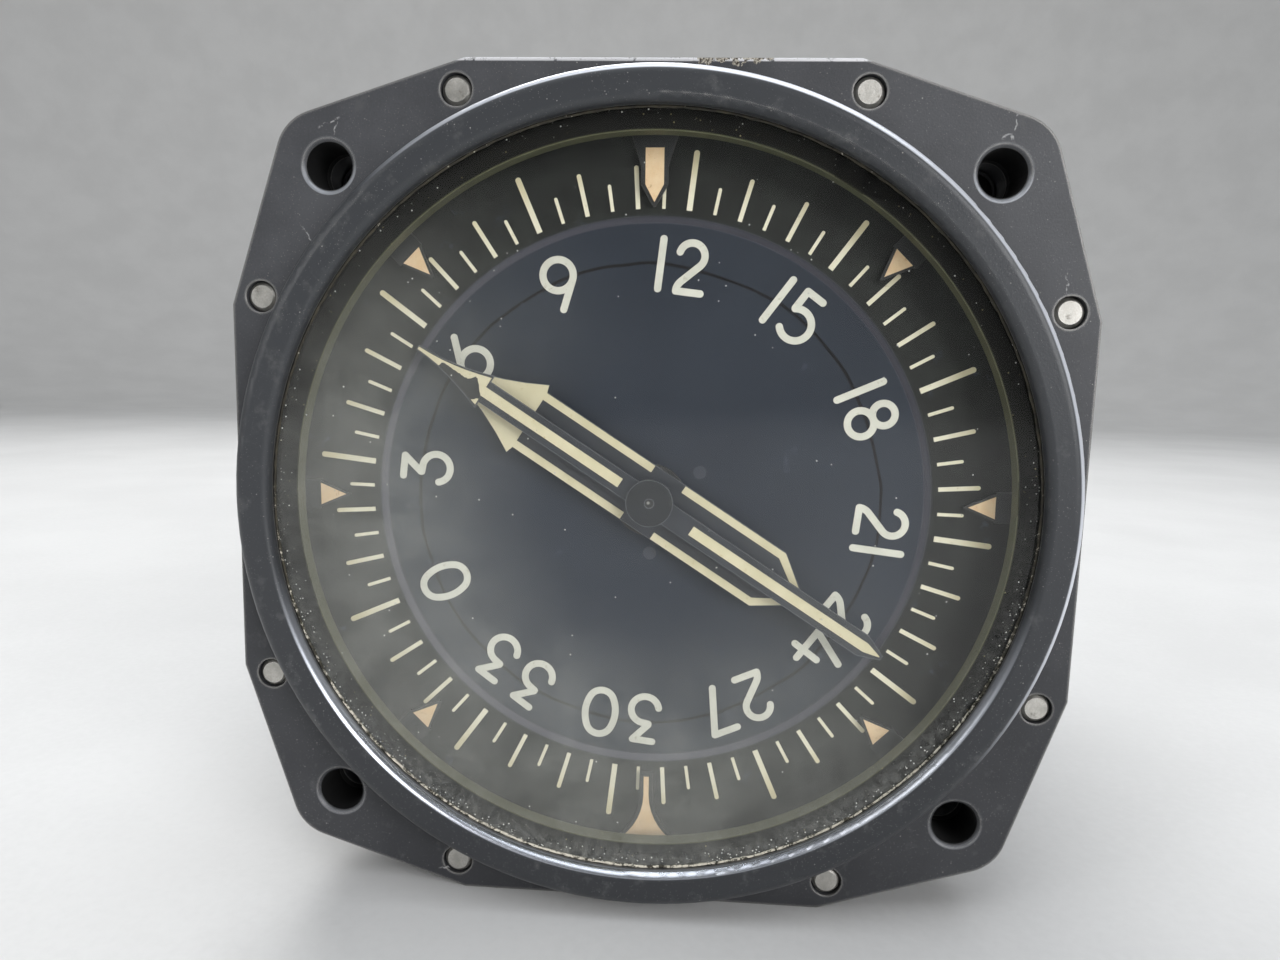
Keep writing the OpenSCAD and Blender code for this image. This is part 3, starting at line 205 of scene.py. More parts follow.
def startFinish(name, look):
    surface = bpy.data.materials.new(name)
    surface.use_nodes = True
    tree = surface.node_tree
    sheet = {"surface": surface, "tree": tree, "shader": tree.nodes["Principled BSDF"], "look": look}
    point = add(sheet, "TexCoord").outputs["Object"]
    sheet["place"] = add(sheet, "VectorMath", {0: point, "Scale": 1 / mm}, operation="SCALE").outputs[0]
    sheet["x"], sheet["y"], sheet["z"] = add(sheet, "SeparateXYZ", {0: sheet["place"]}).outputs[:3]
    cloud = noise(sheet, look["cloud"], 4.0)
    grain = noise(sheet, look["grain"], 3.0, 0.6)
    fine = look.get("fine", 0.3)
    tone = plus(sheet, times(sheet, cloud, 1 - fine), times(sheet, grain, fine))
    share = band(sheet, tone, 0.34, 0.66)
    sheet["cloud"] = cloud
    sheet["color"] = blendColor(sheet, share, swatch(*look["dark"]), swatch(*look["light"]))
    sheet["rough"] = band(sheet, tone, 0.3, 0.7, *look["rough"])
    sheet["height"] = times(sheet, grain, look["relief"])
    sheet["metal"] = look.get("metal", 0.0)
    return sheet


def layer(sheet, mask, color=None, rough=None, metal=None, height=None):
    # lays a second finish over the first where mask is 1
    if color is not None:
        sheet["color"] = blendColor(sheet, mask, sheet["color"], color)
    for key, value in (("rough", rough), ("metal", metal)):
        if value is not None:
            mixed = add(sheet, "Mix", {0: mask, 2: sheet[key], 3: value}, data_type="FLOAT")
            sheet[key] = mixed.outputs[0]
    if height is not None:
        sheet["height"] = plus(sheet, sheet["height"], times(sheet, mask, height))


def wearEdges(sheet, color, amount, size, metal, patch=1.6, keep=None):
    # a soft polish along the edges, and bare spots where the polish has gone through
    edge = edgeOf(sheet, size)
    if keep is not None:
        edge = times(sheet, edge, keep)
    rag = noise(sheet, patch, 5.0, 0.7)
    polished = blendColor(sheet, 0.45, sheet["color"], swatch(*color))
    layer(sheet, band(sheet, edge, 0.04, 0.2, 0.0, 0.7), polished, 0.32)
    start = 0.14 - 0.1 * amount
    worn = band(sheet, times(sheet, edge, rag), start, start + 0.06)
    layer(sheet, worn, swatch(*color), 0.42, metal, -0.01)


def dustOver(sheet, color, size, share, strength):
    # specks of dust, thicker in some places than in others
    uneven = band(sheet, sheet["cloud"], 0.42, 0.58, 0.35 * strength, strength)
    mask = times(sheet, roundDots(sheet, 1 / size, share, 0.12), uneven)
    layer(sheet, mask, swatch(*color), 0.85)


def holeDistance(sheet):
    # distance from the middle of the nearest mounting hole, and how far above that middle
    aside = minus(sheet, calc(sheet, "ABSOLUTE", sheet["x"]), mountReach)
    outward = minus(sheet, calc(sheet, "ABSOLUTE", sheet["z"]), mountReach)
    above = times(sheet, outward, calc(sheet, "SIGN", sheet["z"]))
    square = plus(sheet, times(sheet, aside, aside), times(sheet, outward, outward))
    return calc(sheet, "SQRT", square), above


def endFinish(sheet, softEdge=0.0, bumpStrength=0.6):
    shader = sheet["shader"]
    feed(sheet, shader.inputs["Base Color"], sheet["color"])
    feed(sheet, shader.inputs["Roughness"], sheet["rough"])
    feed(sheet, shader.inputs["Metallic"], sheet["metal"])
    for key, value in sheet["look"].get("sockets", {}).items():
        shader.inputs[key].default_value = value
    bump = add(sheet, "Bump", {"Strength": bumpStrength, "Distance": mm, "Height": sheet["height"]})
    if softEdge > 0:
        rounded = add(sheet, "Bevel", {"Radius": softEdge * mm}, samples=4)
        feed(sheet, bump.inputs["Normal"], rounded.outputs[0])
    feed(sheet, shader.inputs["Normal"], bump.outputs[0])
    return sheet["surface"]


def dress(surface, *names):
    for name in names:
        piece = nodes[name] if isinstance(name, str) else name
        piece.data.materials.clear()
        piece.data.materials.append(surface)


# bezel and case paint

bezelLook = {
    "dark": (62, 63, 66), "light": (76, 77, 80), "cloud": 9.0, "grain": 0.2, "rough": (0.4, 0.54),
    "relief": 0.03, "sockets": {"Specular IOR Level": 0.36}, "ring": (58, 60, 63), "unfaded": (37, 38, 41),
    "patch": (78, 79, 80), "edge": (176, 174, 170), "rim": (230, 230, 232), "lip": (150, 153, 158),
    "chipDark": (58, 50, 42), "chipLight": (186, 180, 166), "scratch": (150, 150, 150),
    "dust": (172, 170, 164), "fineDust": (138, 137, 133), "bare": (190, 194, 202), "scuffed": (226, 229, 236),
    "hole": (4, 4, 4),
}
bezelPlaces = {  # mm; a pair says where a mark begins and where it is full
    "ring": (40.1, 39.6), "ringFoot": 39.7, "outerEdge": (39.0, 39.2), "innerEdge": (36.78, 36.62),
    "topEdge": (40.92, 41.06), "chipsAt": 6.0, "chipsHalf": (7.5, 2.0), "chipsTop": (41.5, 41.65),
    "lipInside": (2.3, 2.4), "lipOutside": (2.75, 2.65), "holeWall": (2.3, 2.22),
}
bezelScratches = [  # place on the flange, turn, length and width in mm
    ((-31.3, 35.4), 25, 2.6, 0.16), ((-30.6, 34.9), 70, 1.6, 0.12), ((-33.6, 25.2), -60, 2.2, 0.12),
    ((32.2, 35.4), 80, 2.8, 0.12), ((31.6, 34.6), 15, 1.4, 0.12), ((38.0, 21.0), -75, 3.2, 0.12),
    ((38.6, -10.0), 84, 3.0, 0.1), ((-39.4, 6.0), 95, 3.4, 0.1), ((-20.0, -39.4), 5, 2.4, 0.12),
]


def scratchFlange(sheet, scratches):
    # thin strips, all bent and broken by the same two noises
    wobble = band(sheet, noise(sheet, 1.1, 2.0), 0.2, 0.8, -0.25, 0.25)
    broken = band(sheet, noise(sheet, 0.35, 2.0), 0.42, 0.55)
    for at, turn, length, width in scratches:
        across = minus(sheet, sheet["x"], at[0])
        up = minus(sheet, sheet["z"], at[1])
        c, s = math.cos(math.radians(turn)), math.sin(math.radians(turn))
        along = plus(sheet, times(sheet, across, c), times(sheet, up, s))
        side = minus(sheet, times(sheet, up, c), times(sheet, across, s))
        side = calc(sheet, "ABSOLUTE", plus(sheet, side, wobble))
        ends = band(sheet, calc(sheet, "ABSOLUTE", along), length / 2, 0.3 * length)
        strip = times(sheet, band(sheet, side, width, 0.3 * width), ends, broken)
        layer(sheet, strip, swatch(*bezelLook["scratch"]), 0.5, None, -0.012)


def wearFlange(sheet):
    # the upper edges are worn most; the long top edge gets a near-white painted highlight, partly bare metal,
    # and the lower lips of the holes a painted highlight, partly bare metal, strongest on the upper holes
    look, place = bezelLook, bezelPlaces
    y, z, hole = sheet["y"], sheet["z"], sheet["hole"]
    offFoot = band(sheet, awayFrom(sheet, sheet["far"], place["ringFoot"]), 0.45, 0.6)
    upper = band(sheet, z, -10.0, 28.0, 1.0, 2.0)
    wearEdges(sheet, look["edge"], 0.5, 0.4, 0.7, 1.6, times(sheet, offFoot, upper))
    ragged = band(sheet, noise(sheet, 1.8, 4.0, 0.7), 0.36, 0.46)
    # painted highlight: a near-white line along the top edge
    rim = times(sheet, band(sheet, z, *place["topEdge"]), ragged, band(sheet, y, 0.35, 0.15))
    layer(sheet, rim, swatch(*look["rim"]), 0.35, 0.5)
    # painted highlight: the lower side of each hole's lip is painted light, most on the upper holes
    lip = times(sheet, band(sheet, hole, *place["lipInside"]), band(sheet, hole, *place["lipOutside"]),
                band(sheet, sheet["above"], 0.6, -1.6, 0.1, 1.0), band(sheet, z, -34.0, 20.0, 0.3, 1.0),
                band(sheet, y, 0.5, 0.3))
    layer(sheet, lip, swatch(*look["lip"]), 0.3, 0.4)


def chipTopEdge(sheet):
    # chips in the middle of the top edge
    look, place = bezelLook, bezelPlaces
    middle = band(sheet, awayFrom(sheet, sheet["x"], place["chipsAt"]), *place["chipsHalf"])
    bite = band(sheet, noise(sheet, 1.3, 5.0, 0.75), 0.3, 0.7, 0.0, 1.2)
    deep = plus(sheet, sheet["z"], times(sheet, middle, bite))
    chips = times(sheet, band(sheet, deep, *place["chipsTop"]), band(sheet, sheet["y"], 1.6, 0.9))
    flakes = band(sheet, noise(sheet, 0.22, 3.0, 0.7), 0.42, 0.56)
    layer(sheet, chips, blendColor(sheet, flakes, swatch(*look["chipDark"]), swatch(*look["chipLight"])),
          0.5, 0.3, -0.05)


def paintRingHighlights(sheet):
    # painted highlights: bare metal on the ring's outer rounding at the upper right and on its inner rounding
    # at the bottom, where the highlights fall, with a near-white painted highlight over the outer one
    look, place = bezelLook, bezelPlaces
    y, z, far = sheet["y"], sheet["z"], sheet["far"]
    right = plus(sheet, z, times(sheet, sheet["x"], 0.9))
    outer = times(sheet, band(sheet, far, *place["outerEdge"]), band(sheet, y, -2.9, -3.3),
                  band(sheet, right, 2.0, 30.0))
    inner = times(sheet, band(sheet, far, *place["innerEdge"]), band(sheet, y, -3.1, -3.5),
                  band(sheet, z, -6.0, -26.0))
    ringHighlights = plus(sheet, outer, inner)
    layer(sheet, ringHighlights, swatch(*look["bare"]), 0.27, 1.0)
    # a near-white painted highlight on the outer rounding
    layer(sheet, times(sheet, outer, 0.55), swatch(*look["scuffed"]), 0.4, 0.0)
    sheet["height"] = times(sheet, sheet["height"], minus(sheet, 1.0, ringHighlights))


def bezelPaint():
    look, place = bezelLook, bezelPlaces
    sheet = startFinish("bezelPaint", look)
    sheet["far"] = radiusOf(sheet)
    sheet["hole"], sheet["above"] = holeDistance(sheet)
    ring = times(sheet, band(sheet, sheet["far"], *place["ring"]), band(sheet, sheet["y"], 0.05, -0.2))
    layer(sheet, ring, swatch(*look["ring"]), 0.34)  # smoother than the flange
    low = band(sheet, sheet["z"], 14.0, -36.0, 0.0, 0.55)
    layer(sheet, low, swatch(*look["unfaded"]))  # painted shade: the paint is darker towards the bottom
    layer(sheet, times(sheet, patches(sheet, 2.4, 0.56, 0.7, 0.65), 0.7), swatch(*look["patch"]), 0.6)
    scratchFlange(sheet, bezelScratches)
    wearFlange(sheet)
    chipTopEdge(sheet)
    dustOver(sheet, look["dust"], 0.27, 0.024, 0.75)
    dustOver(sheet, look["fineDust"], 0.15, 0.22, 0.7)
    wall = band(sheet, sheet["hole"], *place["holeWall"])
    layer(sheet, wall, swatch(*look["hole"]), 0.9)  # painted shade: the hole walls are painted near-black
    paintRingHighlights(sheet)
    return endFinish(sheet, 0.25, 0.5)


caseLook = {"dark": (44, 45, 48), "light": (58, 59, 62), "cloud": 12.0, "grain": 0.35, "rough": (0.45, 0.62),
            "relief": 0.05, "patch": (78, 79, 80), "rub": (92, 92, 92), "edge": (176, 175, 170),
            "dust": (140, 138, 130)}


def casePaint():
    look = caseLook
    sheet = startFinish("casePaint", look)
    layer(sheet, patches(sheet, 5.0, 0.58, 0.75, 0.6), swatch(*look["patch"]), 0.7)
    rub = noise(sheet, 1.0, 4.0, 0.7, stretched(sheet, (0.08, 1.6, 0.08)))
    layer(sheet, band(sheet, rub, 0.64, 0.74), swatch(*look["rub"]), 0.5)
    wearEdges(sheet, look["edge"], 0.55, 0.5, 0.8)
    dustOver(sheet, look["dust"], 0.7, 0.03, 0.7)
    return endFinish(sheet, 0.3, 0.5)


dress(bezelPaint(), "bezel")
dress(casePaint(), "case_can", "rear_cover")
print("bezel and case painted")


# window: glass, its seals and the ring behind it

glassLook = {"dark": (196, 198, 194), "light": (222, 222, 214), "cloud": 0.6, "grain": 0.2,
             "rough": (0.03, 0.07), "relief": 0.0, "tint": (253, 253, 252), "covered": 0.1,
             "sockets": {"Specular IOR Level": 0.27}, "dotScale": 3.1, "stray": 0.003}


def windowGlass():
    # clear, with dust that gathers along the rim and most at the bottom, and a whitish film at the lower left
    # that is partly a painted reflection
    look = glassLook
    sheet = startFinish("windowGlass", look)
    far, z = radiusOf(sheet), sheet["z"]
    low = band(sheet, z, 16.0, -30.0)
    side = band(sheet, plus(sheet, z, times(sheet, sheet["x"], 0.9)), 22.0, -28.0)
    # partly a film of dirt, partly painted reflection: a whitish veil at the lower left
    filmAndReflection = times(sheet, side, band(sheet, far, 8.0, 25.0),
                 band(sheet, noise(sheet, 5.0, 5.0, 0.6), 0.25, 0.75, 0.06, 0.13))
    haze = times(sheet, band(sheet, far, 33.2, 36.2), low,
                 band(sheet, noise(sheet, 0.7, 5.0, 0.7), 0.35, 0.75, 0.02, 0.2))
    crumbs = times(sheet, band(sheet, far, 34.6, 36.2), plus(sheet, 0.08, times(sheet, low, 0.55)))
    dots = roundDots(sheet, look["dotScale"], plus(sheet, crumbs, look["stray"]), 0.16)
    dust = calc(sheet, "MAXIMUM", plus(sheet, filmAndReflection, haze), times(sheet, dots, 0.9))
    layer(sheet, dust, None, 0.7)
    sheet["color"] = blendColor(sheet, dust, (0, 0, 0, 1), sheet["color"])
    surface = endFinish(sheet, 0.0, 0.0)
    clear = add(sheet, "BsdfTransparent")
    under = (look["covered"], look["covered"], look["covered"], 1)
    feed(sheet, clear.inputs[0], blendColor(sheet, dust, swatch(*look["tint"]), under))
    both = add(sheet, "AddShader", {0: clear.outputs[0], 1: sheet["shader"].outputs[0]})
    feed(sheet, sheet["tree"].nodes["Material Output"].inputs[0], both.outputs[0])
    return surface


rubberLook = {"dark": (20, 20, 20), "light": (34, 34, 33), "cloud": 2.0, "grain": 0.12, "rough": (0.7, 0.9),
              "relief": 0.01, "bloom": (74, 72, 64), "edge": (60, 59, 56)}


def sealRubber():
    sheet = startFinish("sealRubber", rubberLook)
    layer(sheet, patches(sheet, 0.8, 0.6, 0.72), swatch(*rubberLook["bloom"]), 0.9)
    wearEdges(sheet, rubberLook["edge"], 0.4, 0.2, 0.0)
    return endFinish(sheet)


ringLook = {"dark": (12, 12, 10), "light": (20, 20, 16), "cloud": 2.5, "grain": 0.15, "rough": (0.5, 0.7),
            "relief": 0.004, "sockets": {"Specular IOR Level": 0.2}, "wall": (86, 87, 64),
            "wallR": (34.7, 34.52), "dirt": (78, 75, 60), "dust": (170, 160, 120), "edge": (120, 118, 100)}


def glassRingBlack():
    look = ringLook
    sheet = startFinish("glassRingBlack", look)
    wall = band(sheet, radiusOf(sheet), *look["wallR"])
    layer(sheet, wall, swatch(*look["wall"]), 0.5)  # painted light: its inner wall is painted olive as if lit
    layer(sheet, patches(sheet, 0.4, 0.66, 0.76), swatch(*look["dirt"]), 0.8)
    dustOver(sheet, look["dust"], 0.35, 0.06, 0.8)
    wearEdges(sheet, look["edge"], 0.4, 0.15, 0.0)
    return endFinish(sheet)


dress(windowGlass(), "cover_glass")
dress(sealRubber(), "glass_seal", "case_gasket", "cover_seal")
dress(glassRingBlack(), "glass_ring")
print("window dressed")


# card and its marks

cardLook = {
    "dark": (38, 45, 56), "light": (44, 51, 62), "cloud": 14.0, "grain": 0.2, "rough": (0.5, 0.62),
    "relief": 0.001, "fine": 0.08, "sockets": {"Specular IOR Level": 0.25}, "trackDark": (27, 29, 27),
    "trackLight": (38, 41, 38), "step": (78, 78, 88), "line": (9, 10, 12), "patch": (62, 68, 79),
    "edge": (96, 97, 100), "dust": (112, 114, 116),
}
cardPlaces = {  # mm
    "track": (27.2, 27.9), "stepInside": (26.9, 27.2), "stepOutside": (27.75, 27.4),
    "lineR": 23.3, "lineAt": (-0.46, -0.2),
}


def cardPaint():
    # blue-black, with an olive track, a paler painted highlight on the step between them, and a thin wavy
    # dark line
    look, place = cardLook, cardPlaces
    sheet = startFinish("cardPaint", look)
    far = radiusOf(sheet)
    olive = blendColor(sheet, patches(sheet, 3.0, 0.35, 0.7, 0.65), swatch(*look["trackDark"]),
                       swatch(*look["trackLight"]))
    layer(sheet, band(sheet, far, *place["track"]), olive, 0.55)
    # painted highlight: the step between card and track is painted paler
    step = times(sheet, band(sheet, far, *place["stepInside"]), band(sheet, far, *place["stepOutside"]))
    layer(sheet, step, swatch(*look["step"]), 0.35)
    wavy = band(sheet, noise(sheet, 9.0, 2.0), 0.2, 0.8, -0.25, 0.25)
    offLine = awayFrom(sheet, plus(sheet, radiusOf(sheet, place["lineAt"]), wavy), place["lineR"])
    faint = band(sheet, noise(sheet, 2.0, 3.0), 0.3, 0.5, 0.85, 1.0)
    line = times(sheet, band(sheet, offLine, 0.2, 0.1), faint)
    layer(sheet, line, swatch(*look["line"]), 0.7, None, -0.01)
    layer(sheet, patches(sheet, 4.0, 0.62, 0.74), swatch(*look["patch"]), 0.6)
    wearEdges(sheet, look["edge"], 0.3, 0.2, 0.0)
    dustOver(sheet, look["dust"], 0.24, 0.02, 0.5)
    return endFinish(sheet)


def markPaint(name, look):
    sheet = startFinish(name, look)
    layer(sheet, patches(sheet, 0.6, 0.6, 0.72), swatch(*look["stain"]), 0.75)
    if "rim" in look:  # the outer ends of the ticks are yellower
        layer(sheet, band(sheet, radiusOf(sheet), 29.5, 33.5, 0.0, 0.6), swatch(*look["rim"]))
    wearEdges(sheet, look["stain"], 0.3, 0.08, 0.0, 0.4)
    dustOver(sheet, look["stain"], 0.3, 0.05, 0.5)
    return endFinish(sheet)


markLook = {"cloud": 2.0, "grain": 0.1, "rough": (0.5, 0.65), "relief": 0.002}
tickLook = dict(markLook, dark=(234, 229, 204), light=(244, 240, 218), stain=(196, 186, 150),
                rim=(218, 205, 156))
numberLook = dict(markLook, dark=(210, 210, 198), light=(224, 224, 212), stain=(182, 178, 158))
indexLook = dict(markLook, dark=(234, 201, 156), light=(243, 216, 178), stain=(204, 168, 124), cloud=1.5)
dress(cardPaint(), "card_disc")
dress(markPaint("tickPaint", tickLook), "card_ticks")
dress(markPaint("numberPaint", numberLook), "card_numbers")
dress(markPaint("indexPaint", indexLook), "index_marks")
print("card dressed")


# pointers

pointerLook = {"dark": (208, 200, 166), "light": (220, 212, 181), "cloud": 2.5, "grain": 0.1,
               "rough": (0.45, 0.6), "relief": 0.002, "stain": (190, 174, 118), "edge": (160, 150, 110),
               "under": (30, 32, 33)}
lostPaint = {  # mm, and the pointer's turn in degrees
    "turn": 302.3, "from": 18.0, "to": 28.0, "reach": 2.0,
    "limit": [  # along the pointer, and how far to its lower side the paint still holds
        (18.0, 2.0), (19.5, 0.5), (20.6, -0.75), (20.85, -0.85), (21.4, -0.25), (21.8, -0.15),
        (23.4, -0.22), (24.4, -0.12), (24.6, 0.6), (28.0, 0.6),
    ],
    "corner": (19.41, 0.75), "slope": 0.84,  # the lowest corner of the head keeps its paint
}


def limitCurve(sheet, along):
    # the limit as a curve over the pointer's length
    start, reach = lostPaint["from"], lostPaint["reach"]
    span = lostPaint["to"] - start
    curve = add(sheet, "FloatCurve", {"Value": calc(sheet, "DIVIDE", minus(sheet, along, start), span)})
    edge = curve.mapping.curves[0]
    spots = [((at - start) / span, (side + reach) / (2 * reach)) for at, side in lostPaint["limit"]]
    edge.points[0].location = spots[0]
    edge.points[-1].location = spots[-1]
    for spot in spots[1:-1]:
        edge.points.new(*spot)
    for point in edge.points:
        point.handle_type = "VECTOR"
    curve.mapping.update()
    return minus(sheet, times(sheet, curve.outputs[0], 2 * reach), reach)


def losePaint(sheet):
    # most of the lower half of the single bar pointer's head has lost its paint
    lost = lostPaint
    c, s = math.cos(math.radians(lost["turn"])), math.sin(math.radians(lost["turn"]))
    along = plus(sheet, times(sheet, sheet["x"], s), times(sheet, sheet["z"], c))
    lower = plus(sheet, times(sheet, sheet["x"], -c), times(sheet, sheet["z"], s))
    lower = plus(sheet, lower, band(sheet, noise(sheet, 0.5, 4.0, 0.7), 0.2, 0.8, -0.12, 0.12))
    gone = band(sheet, minus(sheet, lower, limitCurve(sheet, along)), 0.0, 0.05)
    slant = times(sheet, minus(sheet, along, lost["corner"][0]), lost["slope"])
    corner = minus(sheet, lower, plus(sheet, slant, lost["corner"][1]))
    gone = times(sheet, gone, band(sheet, corner, 0.06, 0.0))
    layer(sheet, gone, swatch(*pointerLook["under"]), 0.6, None, -0.04)


def pointerPaint(name, worn):
    sheet = startFinish(name, pointerLook)
    layer(sheet, patches(sheet, 0.7, 0.6, 0.72), swatch(*pointerLook["stain"]), 0.7)
    wearEdges(sheet, pointerLook["edge"], 0.3, 0.08, 0.0, 0.4)
    if worn:
        losePaint(sheet)
    return endFinish(sheet)


blackLook = {"dark": (28, 30, 31), "light": (40, 42, 44), "cloud": 4.0, "fine": 0.1, "grain": 0.15,
             "rough": (0.4, 0.55), "relief": 0.004, "patch": (56, 57, 58), "dust": (120, 120, 116),
             "edge": (96, 96, 90), "wear": 0.3}
# the light edges of the pointer bars and the boss are partly edge wear, partly painted highlight
barLook = dict(blackLook, dark=(40, 44, 51), light=(48, 52, 60), edge=(150, 154, 158), wear=0.8)
bossLook = dict(blackLook, dark=(24, 28, 32), light=(32, 36, 41), edge=(160, 166, 170), wear=0.9)
screwLook = dict(blackLook, dark=(50, 56, 66), light=(56, 62, 72), edge=(84, 88, 94), wear=0.6)


def blackPaint(name, look):
    sheet = startFinish(name, look)
    layer(sheet, patches(sheet, 1.5, 0.6, 0.72), swatch(*look["patch"]), 0.6)
    wearEdges(sheet, look["edge"], look["wear"], 0.12, 0.3)
    dustOver(sheet, look["dust"], 0.3, 0.03, 0.6)
    return endFinish(sheet)


dress(pointerPaint("singlePaint", True), "single_paint")
dress(pointerPaint("doublePaint", False), "double_paint")
dress(blackPaint("pointerBlack", barLook), "single_pointer", "double_pointer")
dress(blackPaint("bossBlack", bossLook), "single_boss")
dress(blackPaint("cardScrewPaint", screwLook), "card_screws")
dress(blackPaint("plateBlack", blackLook), "index_ring", "clamp_ring")
print("pointers dressed")


# metals: lines is how the tool marks are stretched along x, y and z

bareMetal = {"grain": 0.12, "relief": 0.02, "metal": 1.0, "lines": (6, 0.4, 6), "cut": 0.02}
steelLook = dict(bareMetal, dark=(168, 166, 160), light=(204, 202, 196), cloud=1.5, grain=0.1,
                 lines=(5, 0.3, 5), rough=(0.26, 0.42), streak=(184, 180, 172), stain=(120, 116, 108),
                 edge=(226, 224, 220))
tipLook = dict(steelLook, rough=(0.42, 0.56))
canLook = dict(bareMetal, dark=(150, 150, 146), light=(182, 182, 178), cloud=6.0, grain=0.2,
               lines=(0.3, 6, 0.3), rough=(0.32, 0.46), streak=(166, 166, 162), stain=(112, 110, 104),
               edge=(214, 213, 208))
aluminiumLook = dict(bareMetal, dark=(176, 177, 178), light=(204, 205, 206), cloud=5.0, grain=0.18,
                     lines=(0.25, 3, 7), rough=(0.34, 0.5), streak=(188, 189, 190), stain=(150, 150, 148),
                     edge=(224, 225, 226))
brassLook = dict(bareMetal, dark=(176, 142, 78), light=(206, 172, 104), cloud=3.0, grain=0.15,
                 rough=(0.28, 0.42), streak=(190, 156, 90), stain=(132, 100, 56), edge=(228, 200, 136))
goldLook = dict(brassLook, dark=(206, 164, 80), light=(232, 192, 108), streak=(220, 180, 96),
                stain=(168, 128, 60), edge=(246, 216, 150))
bronzeLook = dict(bareMetal, dark=(150, 104, 64), light=(182, 134, 86), cloud=2.0, relief=0.03,
                  rough=(0.34, 0.5), streak=(166, 118, 74), stain=(104, 70, 44), edge=(206, 160, 110))
laminatedLook = dict(bareMetal, dark=(112, 110, 106), light=(146, 144, 138), cloud=2.0, lines=(0.1, 7, 0.1),
                     cut=0.08, rough=(0.38, 0.55), streak=(96, 92, 84), stain=(104, 78, 52),
                     edge=(186, 182, 174))
connectorLook = dict(bareMetal, dark=(92, 96, 80), light=(120, 124, 106), cloud=5.0, grain=0.18, relief=0.03,
                     metal=0.7, lines=(4, 0.6, 4), rough=(0.36, 0.52), streak=(104, 108, 92),
                     stain=(78, 78, 64), edge=(176, 176, 168))


def turnedMetal(name, look):
    sheet = startFinish(name, look)
    lines = noise(sheet, 1.0, 3.0, 0.6, stretched(sheet, look["lines"]))
    layer(sheet, band(sheet, lines, 0.45, 0.7), swatch(*look["streak"]), look["rough"][1])
    sheet["height"] = plus(sheet, sheet["height"], times(sheet, lines, look["cut"]))
    layer(sheet, patches(sheet, 1.2, 0.6, 0.75), swatch(*look["stain"]), 0.6)
    wearEdges(sheet, look["edge"], 0.5, 0.18, 1.0)
    return endFinish(sheet)


def shaftMetal(name, look, end):
    # turned metal with a dark front end
    sheet = startFinish(name, look)
    turned = noise(sheet, 1.0, 4.0, 0.6, stretched(sheet, (6, 0.4, 6)))
    layer(sheet, band(sheet, turned, 0.45, 0.7), swatch(*look["streak"]), 0.4)
    front = band(sheet, sheet["y"], *end["depth"])
    layer(sheet, front, swatch(*end["color"]), end["rough"], 0.0)
    if "dimple" in end:  # a small bright dimple in the middle of the end
        dimple = band(sheet, radiusOf(sheet, end["dimpleAt"]), 0.2, 0.1)
        layer(sheet, times(sheet, front, dimple), swatch(*end["dimple"]), 0.4)
    wearEdges(sheet, end["edge"], 0.35, 0.12, end["edgeMetal"])
    return endFinish(sheet)


doubleEnd = {"depth": (2.62, 2.52), "color": (34, 35, 36), "rough": 0.5, "edge": (120, 116, 104),
             "edgeMetal": 0.6}
singleEnd = {"depth": (0.2, 0.1), "color": (44, 46, 47), "rough": 0.45, "edge": (110, 112, 112),
             "edgeMetal": 0.4, "dimple": (150, 150, 144), "dimpleAt": (-0.1, 0.05)}
connectorMetal = turnedMetal("connectorMetal", connectorLook)
dress(turnedMetal("tipSteel", tipLook), "bezel_screws")
dress(turnedMetal("screwSteel", steelLook), "cover_screws", "connector_screws", "clamp_screws",
      "synchro_clamps", "frame_screws", "idler_shaft", "motor_pinion")
dress(turnedMetal("canSteel", canLook), "single_synchro_can", "double_synchro_can", "card_synchro_can",
      "servo_motor_can", "board_transistors")
dress(turnedMetal("frameAluminium", aluminiumLook), "front_plate", "gear_plate", "rear_plate",
      "gear_pillars", "rear_pillars")
dress(turnedMetal("gearBrass", brassLook), "card_sleeve", "card_gear", "double_gear", "double_drive_gear",
      "card_drive_gear", "idler_gears")
dress(turnedMetal("bushBronze", bronzeLook), "frame_bushes")
dress(turnedMetal("laminatedSteel", laminatedLook), "single_rotor", "double_drive_rotor",
      "card_drive_rotor", "motor_rotor")
dress(turnedMetal("contactGold", goldLook), "connector_contacts")
dress(connectorMetal, "connector_shell")
dress(shaftMetal("shaftBrass", brassLook, doubleEnd), "double_shaft")
dress(shaftMetal("shaftSteel", steelLook, singleEnd), "single_shaft")
print("metals dressed")


# windings, board, wires and plastics

copperLook = {"dark": (140, 70, 36), "light": (184, 98, 54), "cloud": 2.0, "grain": 0.12,
              "rough": (0.3, 0.45), "relief": 0.02, "metal": 0.9, "turns": 1.0, "between": (84, 40, 24),
              "varnish": (150, 96, 40), "edge": (212, 132, 84)}


def waves(sheet, scale, way, **inputs):
    settings = {"Vector": sheet["place"], "Scale": scale, **inputs}
    return add(sheet, "TexWave", settings, bands_direction=way).outputs[1]


def windingCopper():
    look = copperLook
    sheet = startFinish("windingCopper", look)
    turns = waves(sheet, look["turns"], "DIAGONAL", Distortion=0.6, Detail=1.0)
    layer(sheet, band(sheet, turns, 0.35, 0.0), swatch(*look["between"]), 0.6)
    sheet["height"] = plus(sheet, sheet["height"], times(sheet, turns, 0.12))
    layer(sheet, band(sheet, noise(sheet, 1.5, 4.0, 0.6), 0.6, 0.72), swatch(*look["varnish"]), 0.25)
    wearEdges(sheet, look["edge"], 0.3, 0.15, 0.9)
    return endFinish(sheet)


boardLook = {"dark": (44, 78, 50), "light": (58, 98, 62), "cloud": 6.0, "grain": 0.2, "rough": (0.3, 0.45),
             "relief": 0.02, "cloth": 0.8, "thread": (82, 120, 78), "edge": (150, 146, 104)}


